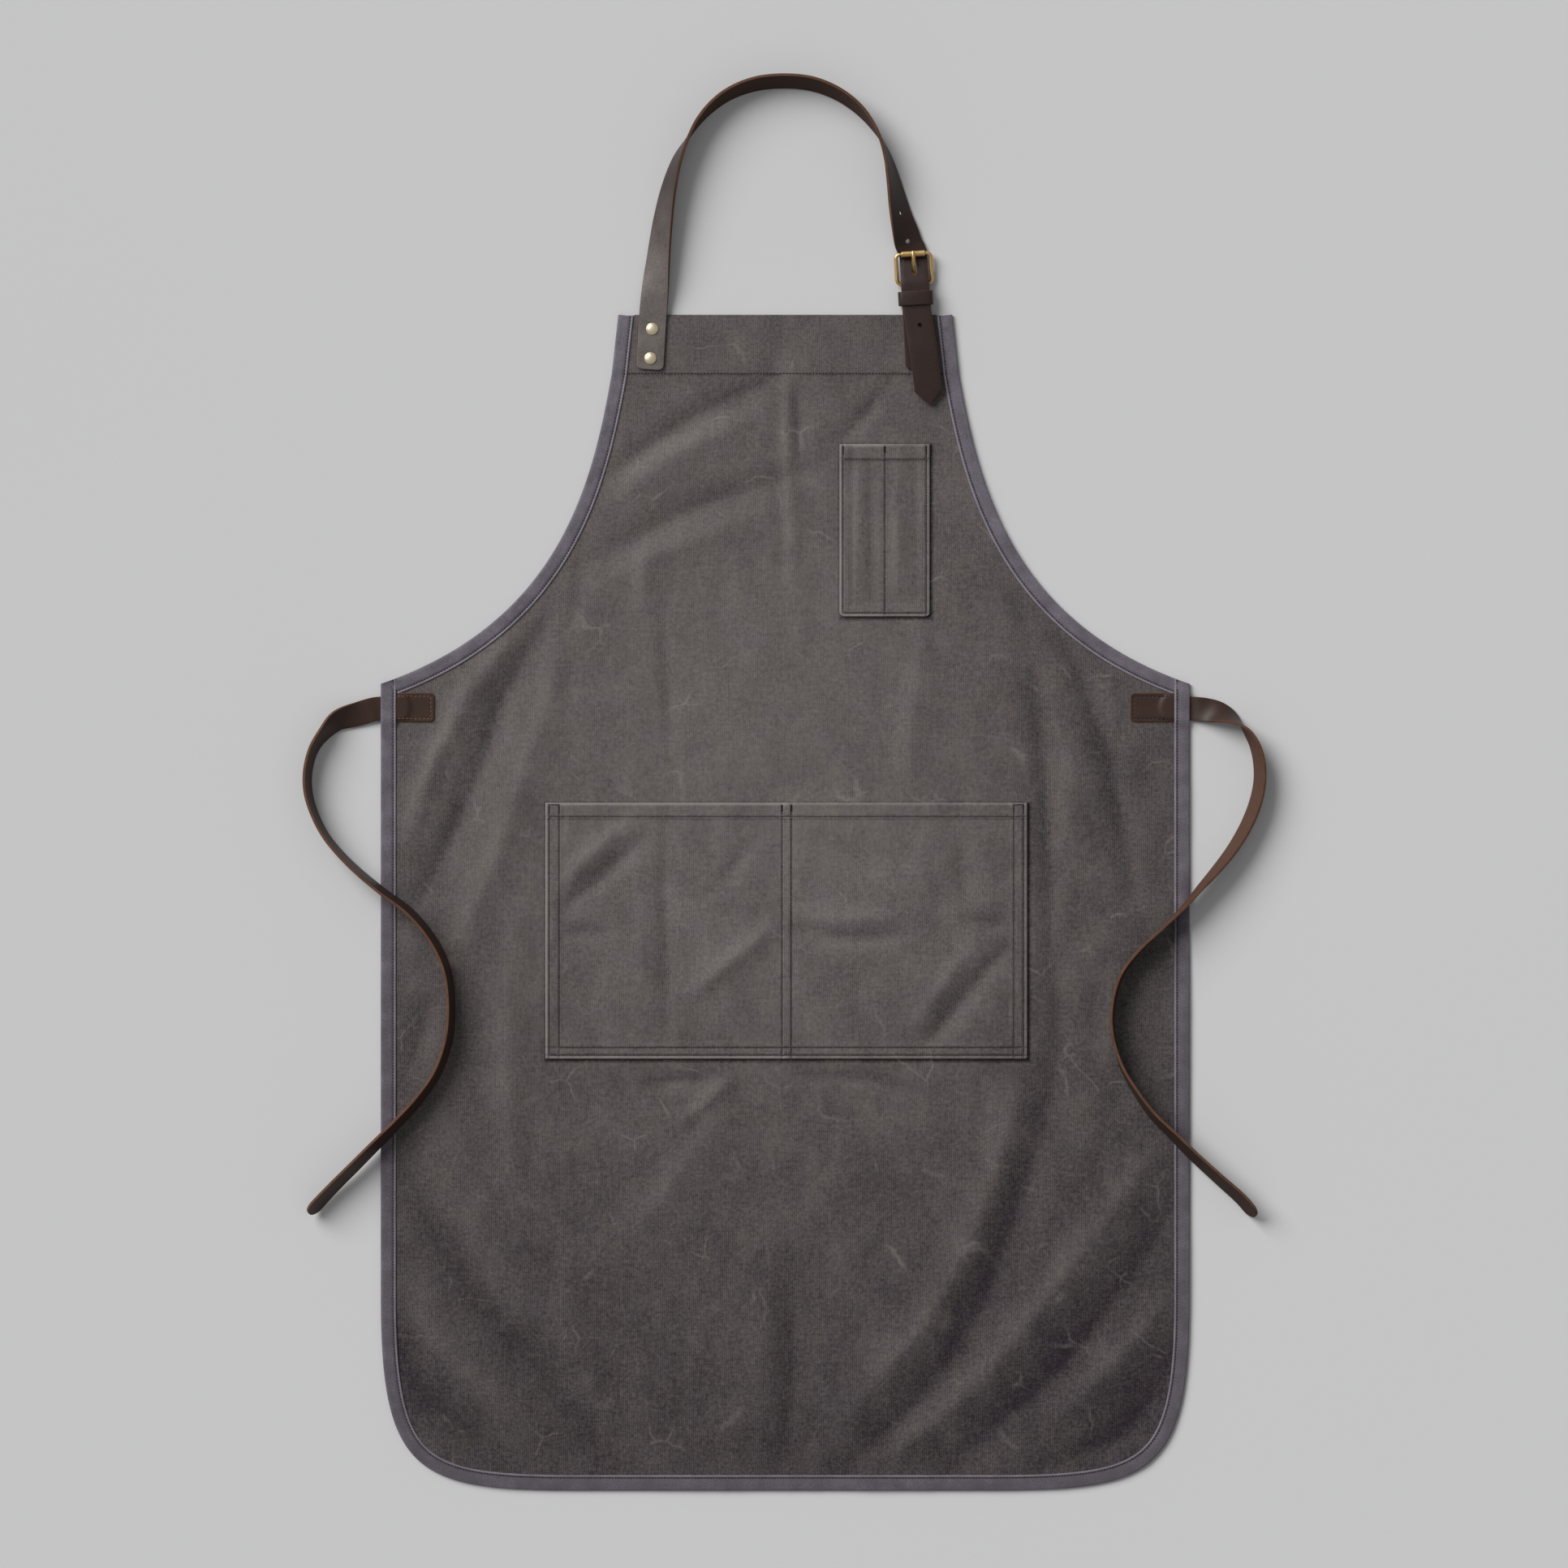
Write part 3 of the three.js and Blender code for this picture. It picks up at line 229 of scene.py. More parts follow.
RIGHT_TIE = [
    (-0.0255, 0.0004, 0, 0.0024), (-0.0120, 0.0006, 0, 0.0024), (0, 0.0010, 0, 0.0024),
    (0.0060, 0.0014, 1, 0.0016), (0.0160, 0.0026, 14, 0.0004), (0.0270, 0.0052, 38, 0.0004),
    (0.0385, 0.0108, 70, 0.0004), (0.0480, 0.0200, 98, 0.0004), (0.0554, 0.0330, 108, 0.0004),
    (0.0590, 0.0480, 112, 0.0004), (0.0592, 0.0640, 113, 0.0004), (0.0554, 0.0820, 114, 0.0004),
    (0.0476, 0.1010, 113, 0.0004), (0.0360, 0.1205, 110, 0.0014), (0.0210, 0.1395, 105, 0.0028),
    (0.0084, 0.1536, 99, 0.0034), (-0.0044, 0.1686, 94, 0.0034), (-0.0238, 0.1880, 88, 0.0034),
    (-0.0452, 0.2092, 84, 0.0034), (-0.0587, 0.2286, 82, 0.0034), (-0.0655, 0.2536, 82, 0.0034),
    (-0.0655, 0.2770, 84, 0.0034), (-0.0587, 0.3040, 92, 0.0034), (-0.0470, 0.3255, 98, 0.0034),
    (-0.0317, 0.3467, 103, 0.0034), (-0.0142, 0.3641, 107, 0.0034), (0.0014, 0.3797, 110, 0.0034),
    (0.0246, 0.4010, 112, 0.0030), (0.0440, 0.4185, 114, 0.0012), (0.0556, 0.4325, 114, 0.0004),
]
HOLE_PITCH = 25 * MM
HOLE_BORE = 4 * MM
STRAP_RIVETS = (9.4 * MM, 34.4 * MM)
CHAPE_RIVETS = (38.5 * MM, 63.5 * MM)
CHAPE_LENGTH = 72 * MM
KEEPER_ALONG = -12.6 * MM                    # the keeper's middle, below the heel bar
KEEPER_WIDTH = 11.7 * MM


# ---------------------------------------------------------------- what a user may change

def colour(name, description, red, green, blue):
    """A colour setting, given as it looks on a screen from 0 to 255."""
    linear = [((value / 255 + 0.055) / 1.055) ** 2.4 for value in (red, green, blue)]
    return FloatVectorProperty(
        name=name, description=description, subtype="COLOR", size=3, min=0, max=1, default=linear)


def length(name, description, default):
    """A length setting in metres."""
    return FloatProperty(
        name=name, description=description, default=default, min=0, unit="LENGTH", precision=4)


class ApronSizes(bpy.types.PropertyGroup):
    """Sizes of the sewing and the drape"""
    thread: length("Thread", "Thickness of the sewing thread", 0.85 * MM)
    edge_stitch: length("Edge stitch", "Stitch length along the bindings", 2.6 * MM)
    pocket_stitch: length("Pocket stitch", "Stitch length on the pockets", 2.3 * MM)
    hem_stitch: length("Hem stitch", "Stitch length of the bib's hem", 2.8 * MM)
    tab_stitch: length("Tab stitch", "Stitch length on the leather tabs", 3.6 * MM)
    fold_height: FloatProperty(
        name="Fold height", description="Scale of the folds in the canvas", default=4.2, min=0)
    weave: length("Weave", "Distance between yarns that show", 1.65 * MM)


class ApronColours(bpy.types.PropertyGroup):
    """Colours of the cloth, leather and metal"""
    # Beyond the cloth's own colour, the light ends of the canvas and pocket colours also give painted
    # light on the folds' slopes and the pockets' rims, and their dark ends painted shade in the folds'
    # valleys and stitch grooves. The tape's colours likewise carry painted light on its edge and lip and
    # painted shade in its stitch groove and at its inner end.
    canvas_dark: colour("Canvas, dark", "Canvas between the yarns and in the creases", 61, 55, 56)
    canvas_light: colour("Canvas, light", "Canvas where the wax is rubbed", 108, 102, 99)
    pocket_dark: colour("Pocket, dark", "Pocket canvas between the yarns", 64, 58, 58)
    pocket_light: colour("Pocket, light", "Pocket canvas where it is rubbed", 112, 106, 103)
    tape_dark: colour("Tape, dark", "Binding tape in its grooves", 80, 74, 81)
    tape_light: colour("Tape, light", "Binding tape on its ribs", 128, 122, 131)
    thread: colour("Thread", "Sewing thread", 30, 26, 28)
    strap_grain: colour("Strap grain", "Smooth side of the neck strap", 46, 33, 30)
    tie_grain: colour("Tie grain", "Smooth side of the waist ties", 54, 37, 30)
    cut_edge: colour("Cut edge", "Raw edge of the leather", 98, 67, 49)
    suede: colour("Suede", "Rough side of the leather", 82, 56, 44)
    pale_brass: colour("Rivet brass", "Polished brass of the rivets", 255, 240, 205)
    antique_brass: colour("Buckle brass", "Antique brass of the buckle", 222, 186, 128)
    floor: colour("Floor", "Plain floor under the apron", 205, 205, 206)


# ---------------------------------------------------------------- shapes in numbers

def smooth(value, low, high):
    """0 up to low, 1 from high, and three t squared less two t cubed between."""
    share = np.clip((value - low) / (high - low), 0, 1)
    return share * share * (3 - 2 * share)


def unit(vectors):
    """Vectors divided by their lengths."""
    return vectors / np.linalg.norm(vectors, axis=-1, keepdims=True)


def on_apron(x, y, z):
    """Sewing places, with y measured up from the bottom hem, as points of the frame."""
    return np.stack(np.broadcast_arrays(x, np.asarray(y) + HEM_Y, z), axis=-1)


def on_chape(across, along, z):
    """Places measured across and along from the heel bar, turned by the chape's lean."""
    lean_cos, lean_sin = math.cos(CHAPE_LEAN), math.sin(CHAPE_LEAN)
    return on_apron(
        HEEL[0] + across * lean_cos - along * lean_sin,
        HEEL[1] + across * lean_sin + along * lean_cos, z)


def on_buckle(across, along, rise):
    """Places in the buckle's own plane, tilted about its heel bar and then put on the chape."""
    return on_chape(
        across, along * math.cos(BUCKLE_TILT) - rise * math.sin(BUCKLE_TILT),
        HEEL_Z + along * math.sin(BUCKLE_TILT) + rise * math.cos(BUCKLE_TILT))


def cubic(start, pull, end_pull, end, steps):
    """A cubic curve: four places weighted by the shares (1-t)^3, 3t(1-t)^2, 3t^2(1-t), t^3."""
    t = np.linspace(0, 1, steps + 1)[:, None]
    return ((1 - t) ** 3 * start + 3 * t * (1 - t) ** 2 * pull
            + 3 * t ** 2 * (1 - t) * end_pull + t ** 3 * end)


def through(points, spans=24):
    """A smooth curve through points: each span is a cubic whose end slopes weigh the chords on
    both sides by the square roots of their lengths. Columns past the third are carried along."""
    points = np.asarray(points, float)
    padded = np.vstack([2 * points[0] - points[1], points, 2 * points[-1] - points[-2]])
    before, start, end, after = (padded[k:len(padded) - 3 + k, None, :] for k in range(4))

    def chord(a, b):
        return np.linalg.norm((b - a)[..., :3], axis=-1, keepdims=True) ** 0.5

    first, middle, last = chord(before, start), chord(start, end), chord(end, after)
    leave = ((start - before) / first - (end - before) / (first + middle)
             + (end - start) / middle) * middle
    arrive = ((end - start) / middle - (after - start) / (middle + last)
              + (after - end) / last) * middle
    t = np.linspace(0, 1, spans, endpoint=False)[None, :, None]
    curve = ((2 * t ** 3 - 3 * t ** 2 + 1) * start + (t ** 3 - 2 * t ** 2 + t) * leave
             + (3 * t ** 2 - 2 * t ** 3) * end + (t ** 3 - t ** 2) * arrive)
    return np.vstack([curve.reshape(-1, points.shape[1]), points[-1]])


def travel(line):
    """Distance along a line at each of its points."""
    return np.concatenate([[0], np.cumsum(np.linalg.norm(np.diff(line, axis=0), axis=1))])


def at_distances(line, distances):
    """Points at some distances along a line, straight between its own points."""
    far = travel(line)
    return np.column_stack([np.interp(distances, far, column) for column in line.T])


def evenly(line, step):
    """Points along a line, one for each step of its length."""
    total = travel(line)[-1]
    return at_distances(line, np.linspace(0, total, max(2, round(total / step) + 1)))


def headings(line):
    """The direction of travel at each point of a line: the difference of its neighbours."""
    return unit(np.gradient(line, axis=0))


def right_of(ahead):
    """Directions turned a quarter to the right: y and less x."""
    return np.column_stack([ahead[:, 1], -ahead[:, 0]])


def round_evenly(line, step):
    """Points evenly round a closed anticlockwise line, and their outward directions."""
    line = evenly(np.vstack([line, line[:1]]), step)[:-1]
    return line, right_of(unit(np.roll(line, -1, axis=0) - np.roll(line, 1, axis=0)))


def spaced(low, high, specials, fine, coarse):
    """Grid lines that are fine near the special places and coarse far from them: the running
    sum of 1 / spacing is cut at whole numbers."""
    x = np.linspace(low, high, 4000)
    away = np.abs(x[:, None] - np.asarray(specials)[None, :]).min(axis=1)
    spacing = fine + (coarse - fine) * smooth(away, 1.5 * MM, 10 * MM)
    count = np.concatenate([[0], np.cumsum(np.diff(x) / spacing[1:])])
    return np.interp(np.linspace(0, count[-1], math.ceil(count[-1]) + 1), count, x)


def fold_relief(x, y, folds):
    """Heights of the folds. Across a fold the height is a wide bell curve with a narrow one on
    its crest, mixed by its lean with a bell's slope, and along it the height swells from nothing
    at one end to nothing at the other."""
    relief = np.zeros(np.broadcast(x, y).shape)
    for places, width, height, lean in folds:
        places = np.array(places)
        chord = places[-1] - places[0]
        reach = np.linalg.norm(chord)
        ahead = chord / reach
        aside = np.array([-ahead[1], ahead[0]])
        line = through(places, 8) if len(places) > 2 else places
        along_line = (line - places[0]) @ ahead
        off_line = (line - places[0]) @ aside
        along = (x - places[0][0]) * ahead[0] + (y - places[0][1]) * ahead[1]
        off = (x - places[0][0]) * aside[0] + (y - places[0][1]) * aside[1]
        off = (off - np.interp(along, along_line, off_line)) / (width * MM)
        share = np.clip((along / reach + 0.08) / 1.16, 0, 1)
        swell = np.sin(np.pi * share) ** 0.7
        bell = 0.75 * np.exp(-off ** 2) + 0.25 * np.exp(-(3 * off) ** 2)
        relief += height * MM * swell * ((1 - lean) * bell + lean * 1.5 * off * bell)
    return relief


def ripples(x, y, seed, count, shortest, longest, height):
    """A sum of waves with seeded directions and starts. Long waves are higher than short ones."""
    draw = np.random.default_rng(seed)
    size = np.exp(draw.uniform(np.log(shortest), np.log(longest), count))
    turn = draw.uniform(0, np.pi, count)
    start = draw.uniform(0, 2 * np.pi, count)
    waves = sum(
        s / longest * np.sin(2 * np.pi / s * (x * np.cos(t) + y * np.sin(t)) + p)
        for s, t, p in zip(size, turn, start))
    return height * waves / math.sqrt(count)


def near_box(x, y, low, high, soft):
    """1 inside a rectangle, fading to 0 at the soft distance outside it."""
    away = np.hypot(np.maximum(np.maximum(low[0] - x, x - high[0]), 0),
                    np.maximum(np.maximum(low[1] - y, y - high[1]), 0))
    return 1 - smooth(away, 0, soft)


# ---------------------------------------------------------------- outline and cloth level

def armhole_line():
    """The right armhole: a cubic curve that leaves the bib and reaches the side at a slant."""
    slant = ARMHOLE_SLANTS
    leave = BIB_BASE + ARMHOLE_PULLS[0] * np.array([math.sin(slant[0]), -math.cos(slant[0])])
    arrive = SIDE + ARMHOLE_PULLS[1] * np.array([-math.cos(slant[1]), math.sin(slant[1])])
    return cubic(BIB_BASE, leave, arrive, SIDE, 60)


def skirt_line():
    """The right side edge and bottom corner, to the middle of the bottom hem."""
    corner_top = np.array([SIDE[0], CORNER[1]])
    corner_end = np.array([SIDE[0] - CORNER[0], 0])
    corner = cubic(
        corner_top, corner_top - [0, CORNER_PULLS[0]], corner_end + [CORNER_PULLS[1], 0],
        corner_end, 60)
    return np.vstack([SIDE, corner, [0, 0]])


def half_width(y):
    """Half of the apron's width at a height above the bottom hem."""
    line = np.vstack([BIB_TOP, armhole_line(), skirt_line()[1:-1]])[::-1]
    return np.interp(y, line[:, 1], line[:, 0])


def calm(x, y):
    """How much the cloth is held flat, by the leather on it and the work under it."""
    held = near_box(x, y, (-0.135, 0.950), (-0.090, 1.0), 20 * MM)
    held = np.maximum(held, near_box(x, y, (0.088, 0.905), (0.136, 1.0), 20 * MM))
    held = np.maximum(held, near_box(np.abs(x), y, (0.296, 0.648), (0.350, 0.690), 22 * MM))
    return np.maximum(held, smooth(y, 0.985, 1.0) * 0.9)


def under_ties(x, y):
    """1 where a waist tie lies over the cloth, fading to 0 beside it."""
    out, fall = (np.array(LEFT_TIE + RIGHT_TIE)[:, k] for k in (0, 1))
    away = np.full(np.broadcast(x, y).shape, 1.0)
    for place_x, place_y in zip(SIDE[0] + out, TAB_Y - fall):
        away = np.minimum(away, np.hypot(np.abs(x) - place_x, y - place_y))
    return 1 - smooth(away, 16 * MM, 40 * MM)


def canvas_level(x, y, scale):
    """Height of the canvas's upper face. Folds and ripples ride on a low swell, are held flat
    under the leather and near the edges, and are kept between a floor and a ceiling by a
    hyperbolic tangent. The bib's hem stands a step above, with a groove under its stitches."""
    from_edge = np.minimum(half_width(y) - np.abs(x), y)
    in_hem = smooth(y, BIB_SEAM_Y - 2 * MM, BIB_SEAM_Y)
    swell = 1.8 * MM * smooth(from_edge, 12 * MM, 60 * MM) * (1 - smooth(y, 0.88, 0.935))
    relief = fold_relief(x, y, CANVAS_FOLDS) * (0.35 + 0.65 * smooth(from_edge, 5 * MM, 45 * MM))
    relief = relief * (1 - 0.7 * in_hem)
    relief = relief + ripples(x, y, 11, 26, 0.045, 0.22, 0.22 * MM)
    relief = relief + ripples(x * 1.4, y * 0.7, 29, 30, 0.014, 0.040, 0.06 * MM)
    relief = (relief * scale + swell) * (1 - calm(x, y))
    step = 0.55 * MM * (1 - in_hem) * smooth(y, LENGTH - 95 * MM, LENGTH - 53 * MM)
    pucker = 0.16 * MM * np.sin(2 * np.pi * x / (7.5 * MM) + 3 * np.sin(x / (21 * MM)))
    pucker = pucker * np.exp(-((y - BIB_SEAM_Y - 1 * MM) / (7 * MM)) ** 2)
    seam_groove = 0.30 * MM * np.exp(-((y - BIB_SEAM_Y) / (0.9 * MM)) ** 2)
    relief = relief - step + pucker - seam_groove
    floor = -1.0 * MM * (1 - in_hem) - 0.1 * MM
    ceiling = 4.9 * MM - 3.8 * MM * under_ties(x, y)
    middle, span = (ceiling + floor) / 2, (ceiling - floor) / 2
    return CANVAS_TOP + middle + span * np.tanh((relief - middle) / span)


def cloth_wear_and_shade(x, y, folds):
    """How light the cloth is painted, from -1.4 in a deep valley to 1.2 on a high ridge: the folds'
    height, as wax rubbed pale on the ridges and painted shade in the valleys, and their rise across 8 mm
    towards the lower right, as painted light on slopes that face the upper left and painted shade on
    slopes that face the lower right, with the lower part and the right side darker than the middle."""
    near = 2.8 * MM
    ridge = fold_relief(x, y, folds) / MM
    # Painted light and shade: lighter where the cloth faces the upper left, darker where it faces the
    # lower right
    flank = (fold_relief(x + near, y - near, folds) - fold_relief(x - near, y + near, folds)) / MM
    middle = 0.55 * np.exp(-(((x + 0.03) / 0.30) ** 2 + ((y - 0.66) / 0.40) ** 2)) - 0.16
    low = -0.30 * (1 - smooth(y, 0.02, 0.52)) - 0.14 * smooth(x, 0.02, 0.32)
    return np.clip(0.30 * ridge + 0.42 * flank + middle + low, -1.4, 1.2)


# ---------------------------------------------------------------- meshes

def grid_faces(rows, columns, round_rows=False, round_columns=False):
    """Quads between neighbouring points of a grid, which may close on itself either way."""
    row, column = np.meshgrid(
        np.arange(rows if round_rows else rows - 1),
        np.arange(columns if round_columns else columns - 1), indexing="ij")
    over, next_row = (column + 1) % columns, (row + 1) % rows
    corners = [row * columns + column, row * columns + over,
               next_row * columns + over, next_row * columns + column]
    return np.stack(corners, axis=-1).reshape(-1, 4)


def volume(points, faces):
    """Signed volume: each face's fan of triangles, as the tetrahedra they make with the origin."""
    total = 0.0
    for quad in faces:
        for step in range(1, quad.shape[1] - 1):
            a, b, c = points[quad[:, 0]], points[quad[:, step]], points[quad[:, step + 1]]
            total += np.einsum("ij,ij->i", a, np.cross(b, c)).sum() / 6
    return total


def new_piece(name, points, *faces):
    """A mesh object from points and arrays of faces, with its faces turned outwards."""
    points = np.asarray(points, float).reshape(-1, 3)
    if volume(points - points.mean(axis=0), faces) < 0:
        faces = [group[:, ::-1] for group in faces]
    mesh = bpy.data.meshes.new(name)
    mesh.from_pydata(points.tolist(), [], [face for group in faces for face in group.tolist()])
    mesh.polygons.foreach_set("use_smooth", np.ones(len(mesh.polygons), bool))
    mesh.update()
    piece = bpy.data.objects.new(name, mesh)
    bpy.context.scene.collection.objects.link(piece)
    return piece


def mark(piece, **marks):
    """Numbers on each point of a piece, which its finish reads."""
    for name, values in marks.items():
        attribute = piece.data.attributes.new(name, "FLOAT", "POINT")
        attribute.data.foreach_set("value", np.asarray(values, np.float32).ravel())
    return piece


def shell(name, upper, lower):
    """A closed sheet from two grids of points that share their outline's order."""
    rows, columns = upper.shape[:2]
    over = grid_faces(rows, columns)
    count = rows * columns
    index = np.arange(count).reshape(rows, columns)
    loop = np.concatenate([index[0, :-1], index[:-1, -1], index[-1, :0:-1], index[:0:-1, 0]])
    after = np.roll(loop, -1)
    rim = np.stack([after, loop, loop + count, after + count], axis=-1)
    return new_piece(name, np.concatenate([upper.reshape(-1, 3), lower.reshape(-1, 3)]),
                     over, over[:, ::-1] + count, rim)


def both_faces(values):
    """A shell's marks: the same on its lower face as on its upper one."""
    return np.concatenate([values.ravel()] * 2)


def loft(name, rings, closed=False):
    """A skin over a stack of rings of points, capped at both ends unless it closes on itself."""
    count, sides = rings.shape[:2]
    skin = grid_faces(count, sides, round_rows=closed, round_columns=True)
    ring = np.arange(sides)[None, :]
    caps = [] if closed else [ring[:, ::-1], ring + (count - 1) * sides]
    return new_piece(name, rings, skin, *caps)


def lathe(profile, sides):
    """A profile of radius and height turned about the vertical, as rings of points. Each ring
    is one side's copy of the profile, so the skin closes both ways."""
    turn = np.arange(sides) / sides * 2 * np.pi
    radius, height = np.asarray(profile, float).T
    return (radius[None, :] * np.cos(turn)[:, None], radius[None, :] * np.sin(turn)[:, None],
            np.broadcast_to(height, (sides, len(radius))))


def join_pieces(name, pieces):
    """One object from several."""
    bpy.ops.object.select_all(action="DESELECT")
    for piece in pieces:
        piece.select_set(True)
    bpy.context.view_layer.objects.active = pieces[0]
    bpy.ops.object.join()
    pieces[0].name = name
    pieces[0].data.name = name
    return pieces[0]


def carve(piece, cutter):
    """Takes the cutter's shape out of a piece."""
    modifier = piece.modifiers.new("cut", "BOOLEAN")
    modifier.object = cutter
    modifier.operation = "DIFFERENCE"
    modifier.solver = "EXACT"
    bpy.context.view_layer.objects.active = piece
    bpy.ops.object.modifier_apply(modifier=modifier.name)
    bpy.data.objects.remove(cutter)
    return piece


def settle(piece, body, finish, slot, *nodes):
    """Gives a piece its finish, the body it moves with and the nodes that it stands for."""
    piece.data.set_sharp_from_angle(angle=math.radians(45))
    piece.data.materials.clear()
    piece.data.materials.append(finish)
    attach(piece, body)
    if nodes:
        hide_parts(*nodes)
    return piece


# ---------------------------------------------------------------- straps

def section_points():
    """Points round a strap's section with rounded corners, over the grain first: how many corner
    reaches each lies across and over, its corner's cosine and sine, and its side from 0, grain,
    to 2, flesh. The flesh half is the grain half turned half way round."""
    flat = np.linspace(-1, 1, 7)[1:-1]
    turns = np.linspace(0, 90, 5)
    parts = []
    for up in (1, -1):
        parts.append((up * flat, 0 * flat + up, 0 * flat, 0 * flat + up, 0 * flat + 1 - up))
        for corner in (0, 1):
            angle = np.radians(90 * (1 - corner) - turns)
            side = 1 - up * (1 - corner - turns / 90)
            parts.append((0 * angle + up, 0 * angle + up * (1 - 2 * corner),
                          up * np.cos(angle), up * np.sin(angle), side))
    return np.hstack([np.array(part) for part in parts])


def strap_section(width, thick, corner, crown=0.0):
    """How far across and over each point of a strap's skin lies, and its side, for a width and a
    thickness at each ring. The crown lifts the middle of both faces, as one less the square of
    the share across."""
    reach_x, reach_y, cosine, sine, face = section_points()
    half_w, half_t = (width / 2)[:, None], (thick / 2)[:, None]
    corner = np.minimum(corner, 0.98 * np.minimum(half_t, half_w))
    across = reach_x * (half_w - corner) + cosine * corner
    over = reach_y * (half_t - corner) + sine * corner
    over = over + crown * reach_y * (1 - (across / half_w) ** 2)
    return across, over, np.broadcast_to(face, across.shape)


class Route:
    """A flat strap's path through its stations, rolled about its own middle line."""

    def __init__(self, stations, width, thick):
        stations = np.array(stations, float)
        roll = np.radians(stations[:, 2])
        middle = (stations[:, 3] + width / 2 * np.abs(np.sin(roll))
                  + thick / 2 * np.abs(np.cos(roll)))
        self.line = through(np.column_stack([stations[:, :2], middle, roll]))
        self.far = travel(self.line[:, :3])
        self.length = self.far[-1]
        self.width = width
        self.thick = thick

    def middle(self, distances):
        """The middle line's points, and the roll as a fourth column, at some distances."""
        return np.column_stack([np.interp(distances, self.far, self.line[:, k]) for k in range(4)])

    def frames(self, distances):
        """Middle, forward, grain and side directions at some distances."""
        at = self.middle(distances)
        step = 1.2 * MM
        ahead = self.middle(np.minimum(distances + step, self.length))[:, :3]
        behind = self.middle(np.maximum(distances - step, 0))[:, :3]
        forward = unit(ahead - behind)
        left = unit(np.cross([0, 0, 1], forward))
        roll = at[:, 3:4]
        grain = np.cross(forward, left) * np.cos(roll) + left * np.sin(roll)
        return at[:, :3], forward, grain, np.cross(forward, grain)

    def nearest(self, place):
        """The distance at which the path passes closest to a place on the floor plan."""
        return self.far[np.argmin(np.hypot(*(self.line[:, :2] - place).T))]

    def strap(self, name, distances, width, thick, corner, crown=0.0):
        """The strap's skin: its section carried along the path, with a width and a thickness at
        each distance."""
        at, _, grain, side = self.frames(distances)
        across, over, face = strap_section(width, thick, corner, crown)
        points = (at[:, None] + grain[:, None] * over[..., None]
                  + side[:, None] * across[..., None])
        piece = loft(name, on_apron(*np.moveaxis(points, -1, 0)))
        along = np.broadcast_to(distances[:, None], across.shape)
        return mark(piece, along=along, across=across, face=face)


def rounded_end(width, radius, from_end):
    """Width near an end whose corners are rounded: a quarter circle on each side."""
    share = np.clip(1 - from_end / radius, 0, 0.995)
    return width - 2 * radius * (1 - np.sqrt(1 - share ** 2))


def strap_steps(total, step, start_shape, end_shape):
    """Distances along a strap, closer together over each end's shaped length."""
    ease = 1 - np.cos(np.linspace(0, np.pi / 2, 10))
    middle = np.linspace(start_shape, total - end_shape, round(total / step))
    return np.concatenate([ease[:-1] * start_shape, middle, total - ease[:-1][::-1] * end_shape])


def neck_route():
    """The neck strap's path: round the neck, then down the tail along the chape's lean."""
    across, along, roll, low = np.array(NECK_TAIL).T
    placed = on_chape(across, along, low) - [0, HEM_Y, 0]
    tail = np.column_stack([placed[:, 0], placed[:, 1], roll, low])
    return Route(np.vstack([NECK_LOOP, tail]), STRAP_WIDTH, STRAP_THICK)


def tie_route(stations, side):
    """A waist tie's path out from the side edge. Its skived end lies lower by half of what was
    skived off."""
    out, fall, roll, low = np.array(stations).T
    low = low + np.where(np.arange(len(low)) < 3, (TIE_SKIVED - TIE_THICK) / 2, 0)
    placed = np.column_stack([side * (SIDE[0] + out), TAB_Y - fall, roll, low])
    return Route(placed, TIE_WIDTH, TIE_THICK)


# ---------------------------------------------------------------- finishes

class Value:
    """A number or vector socket of a finish. Sums on it add Math nodes."""

    def __init__(self, finish, socket):
        self.finish = finish
        self.socket = socket

    def math(self, operation, *others):
        """This value and others put through a Math node."""
        inputs = dict(enumerate((self,) + others))
        return self.finish.node("ShaderNodeMath", {"operation": operation}, inputs)

    def swapped(self, operation, other):
        """The same with this value second."""
        return self.finish.node("ShaderNodeMath", {"operation": operation}, {0: other, 1: self})

    def __add__(self, other):
        return self.math("ADD", other)

    def __radd__(self, other):
        return self.swapped("ADD", other)

    def __sub__(self, other):
        return self.math("SUBTRACT", other)

    def __rsub__(self, other):
        return self.swapped("SUBTRACT", other)

    def __mul__(self, other):
        return self.math("MULTIPLY", other)

    def __rmul__(self, other):
        return self.swapped("MULTIPLY", other)

    def sine(self):
        return self.math("SINE")

    def size(self):
        return self.math("ABSOLUTE")

    def most(self, other):
        return self.math("MAXIMUM", other)

    def least(self, other):
        return self.math("MINIMUM", other)

    def rise(self, low, high):
        """0 below low, 1 above high, smooth between. It falls where low is above high."""
        flip = low > high
        first, last = (high, low) if flip else (low, high)
        raised = self.finish.node(
            "ShaderNodeMapRange", {"interpolation_type": "SMOOTHSTEP"},
            {"Value": self, "From Min": first, "From Max": last})
        return 1 - raised if flip else raised


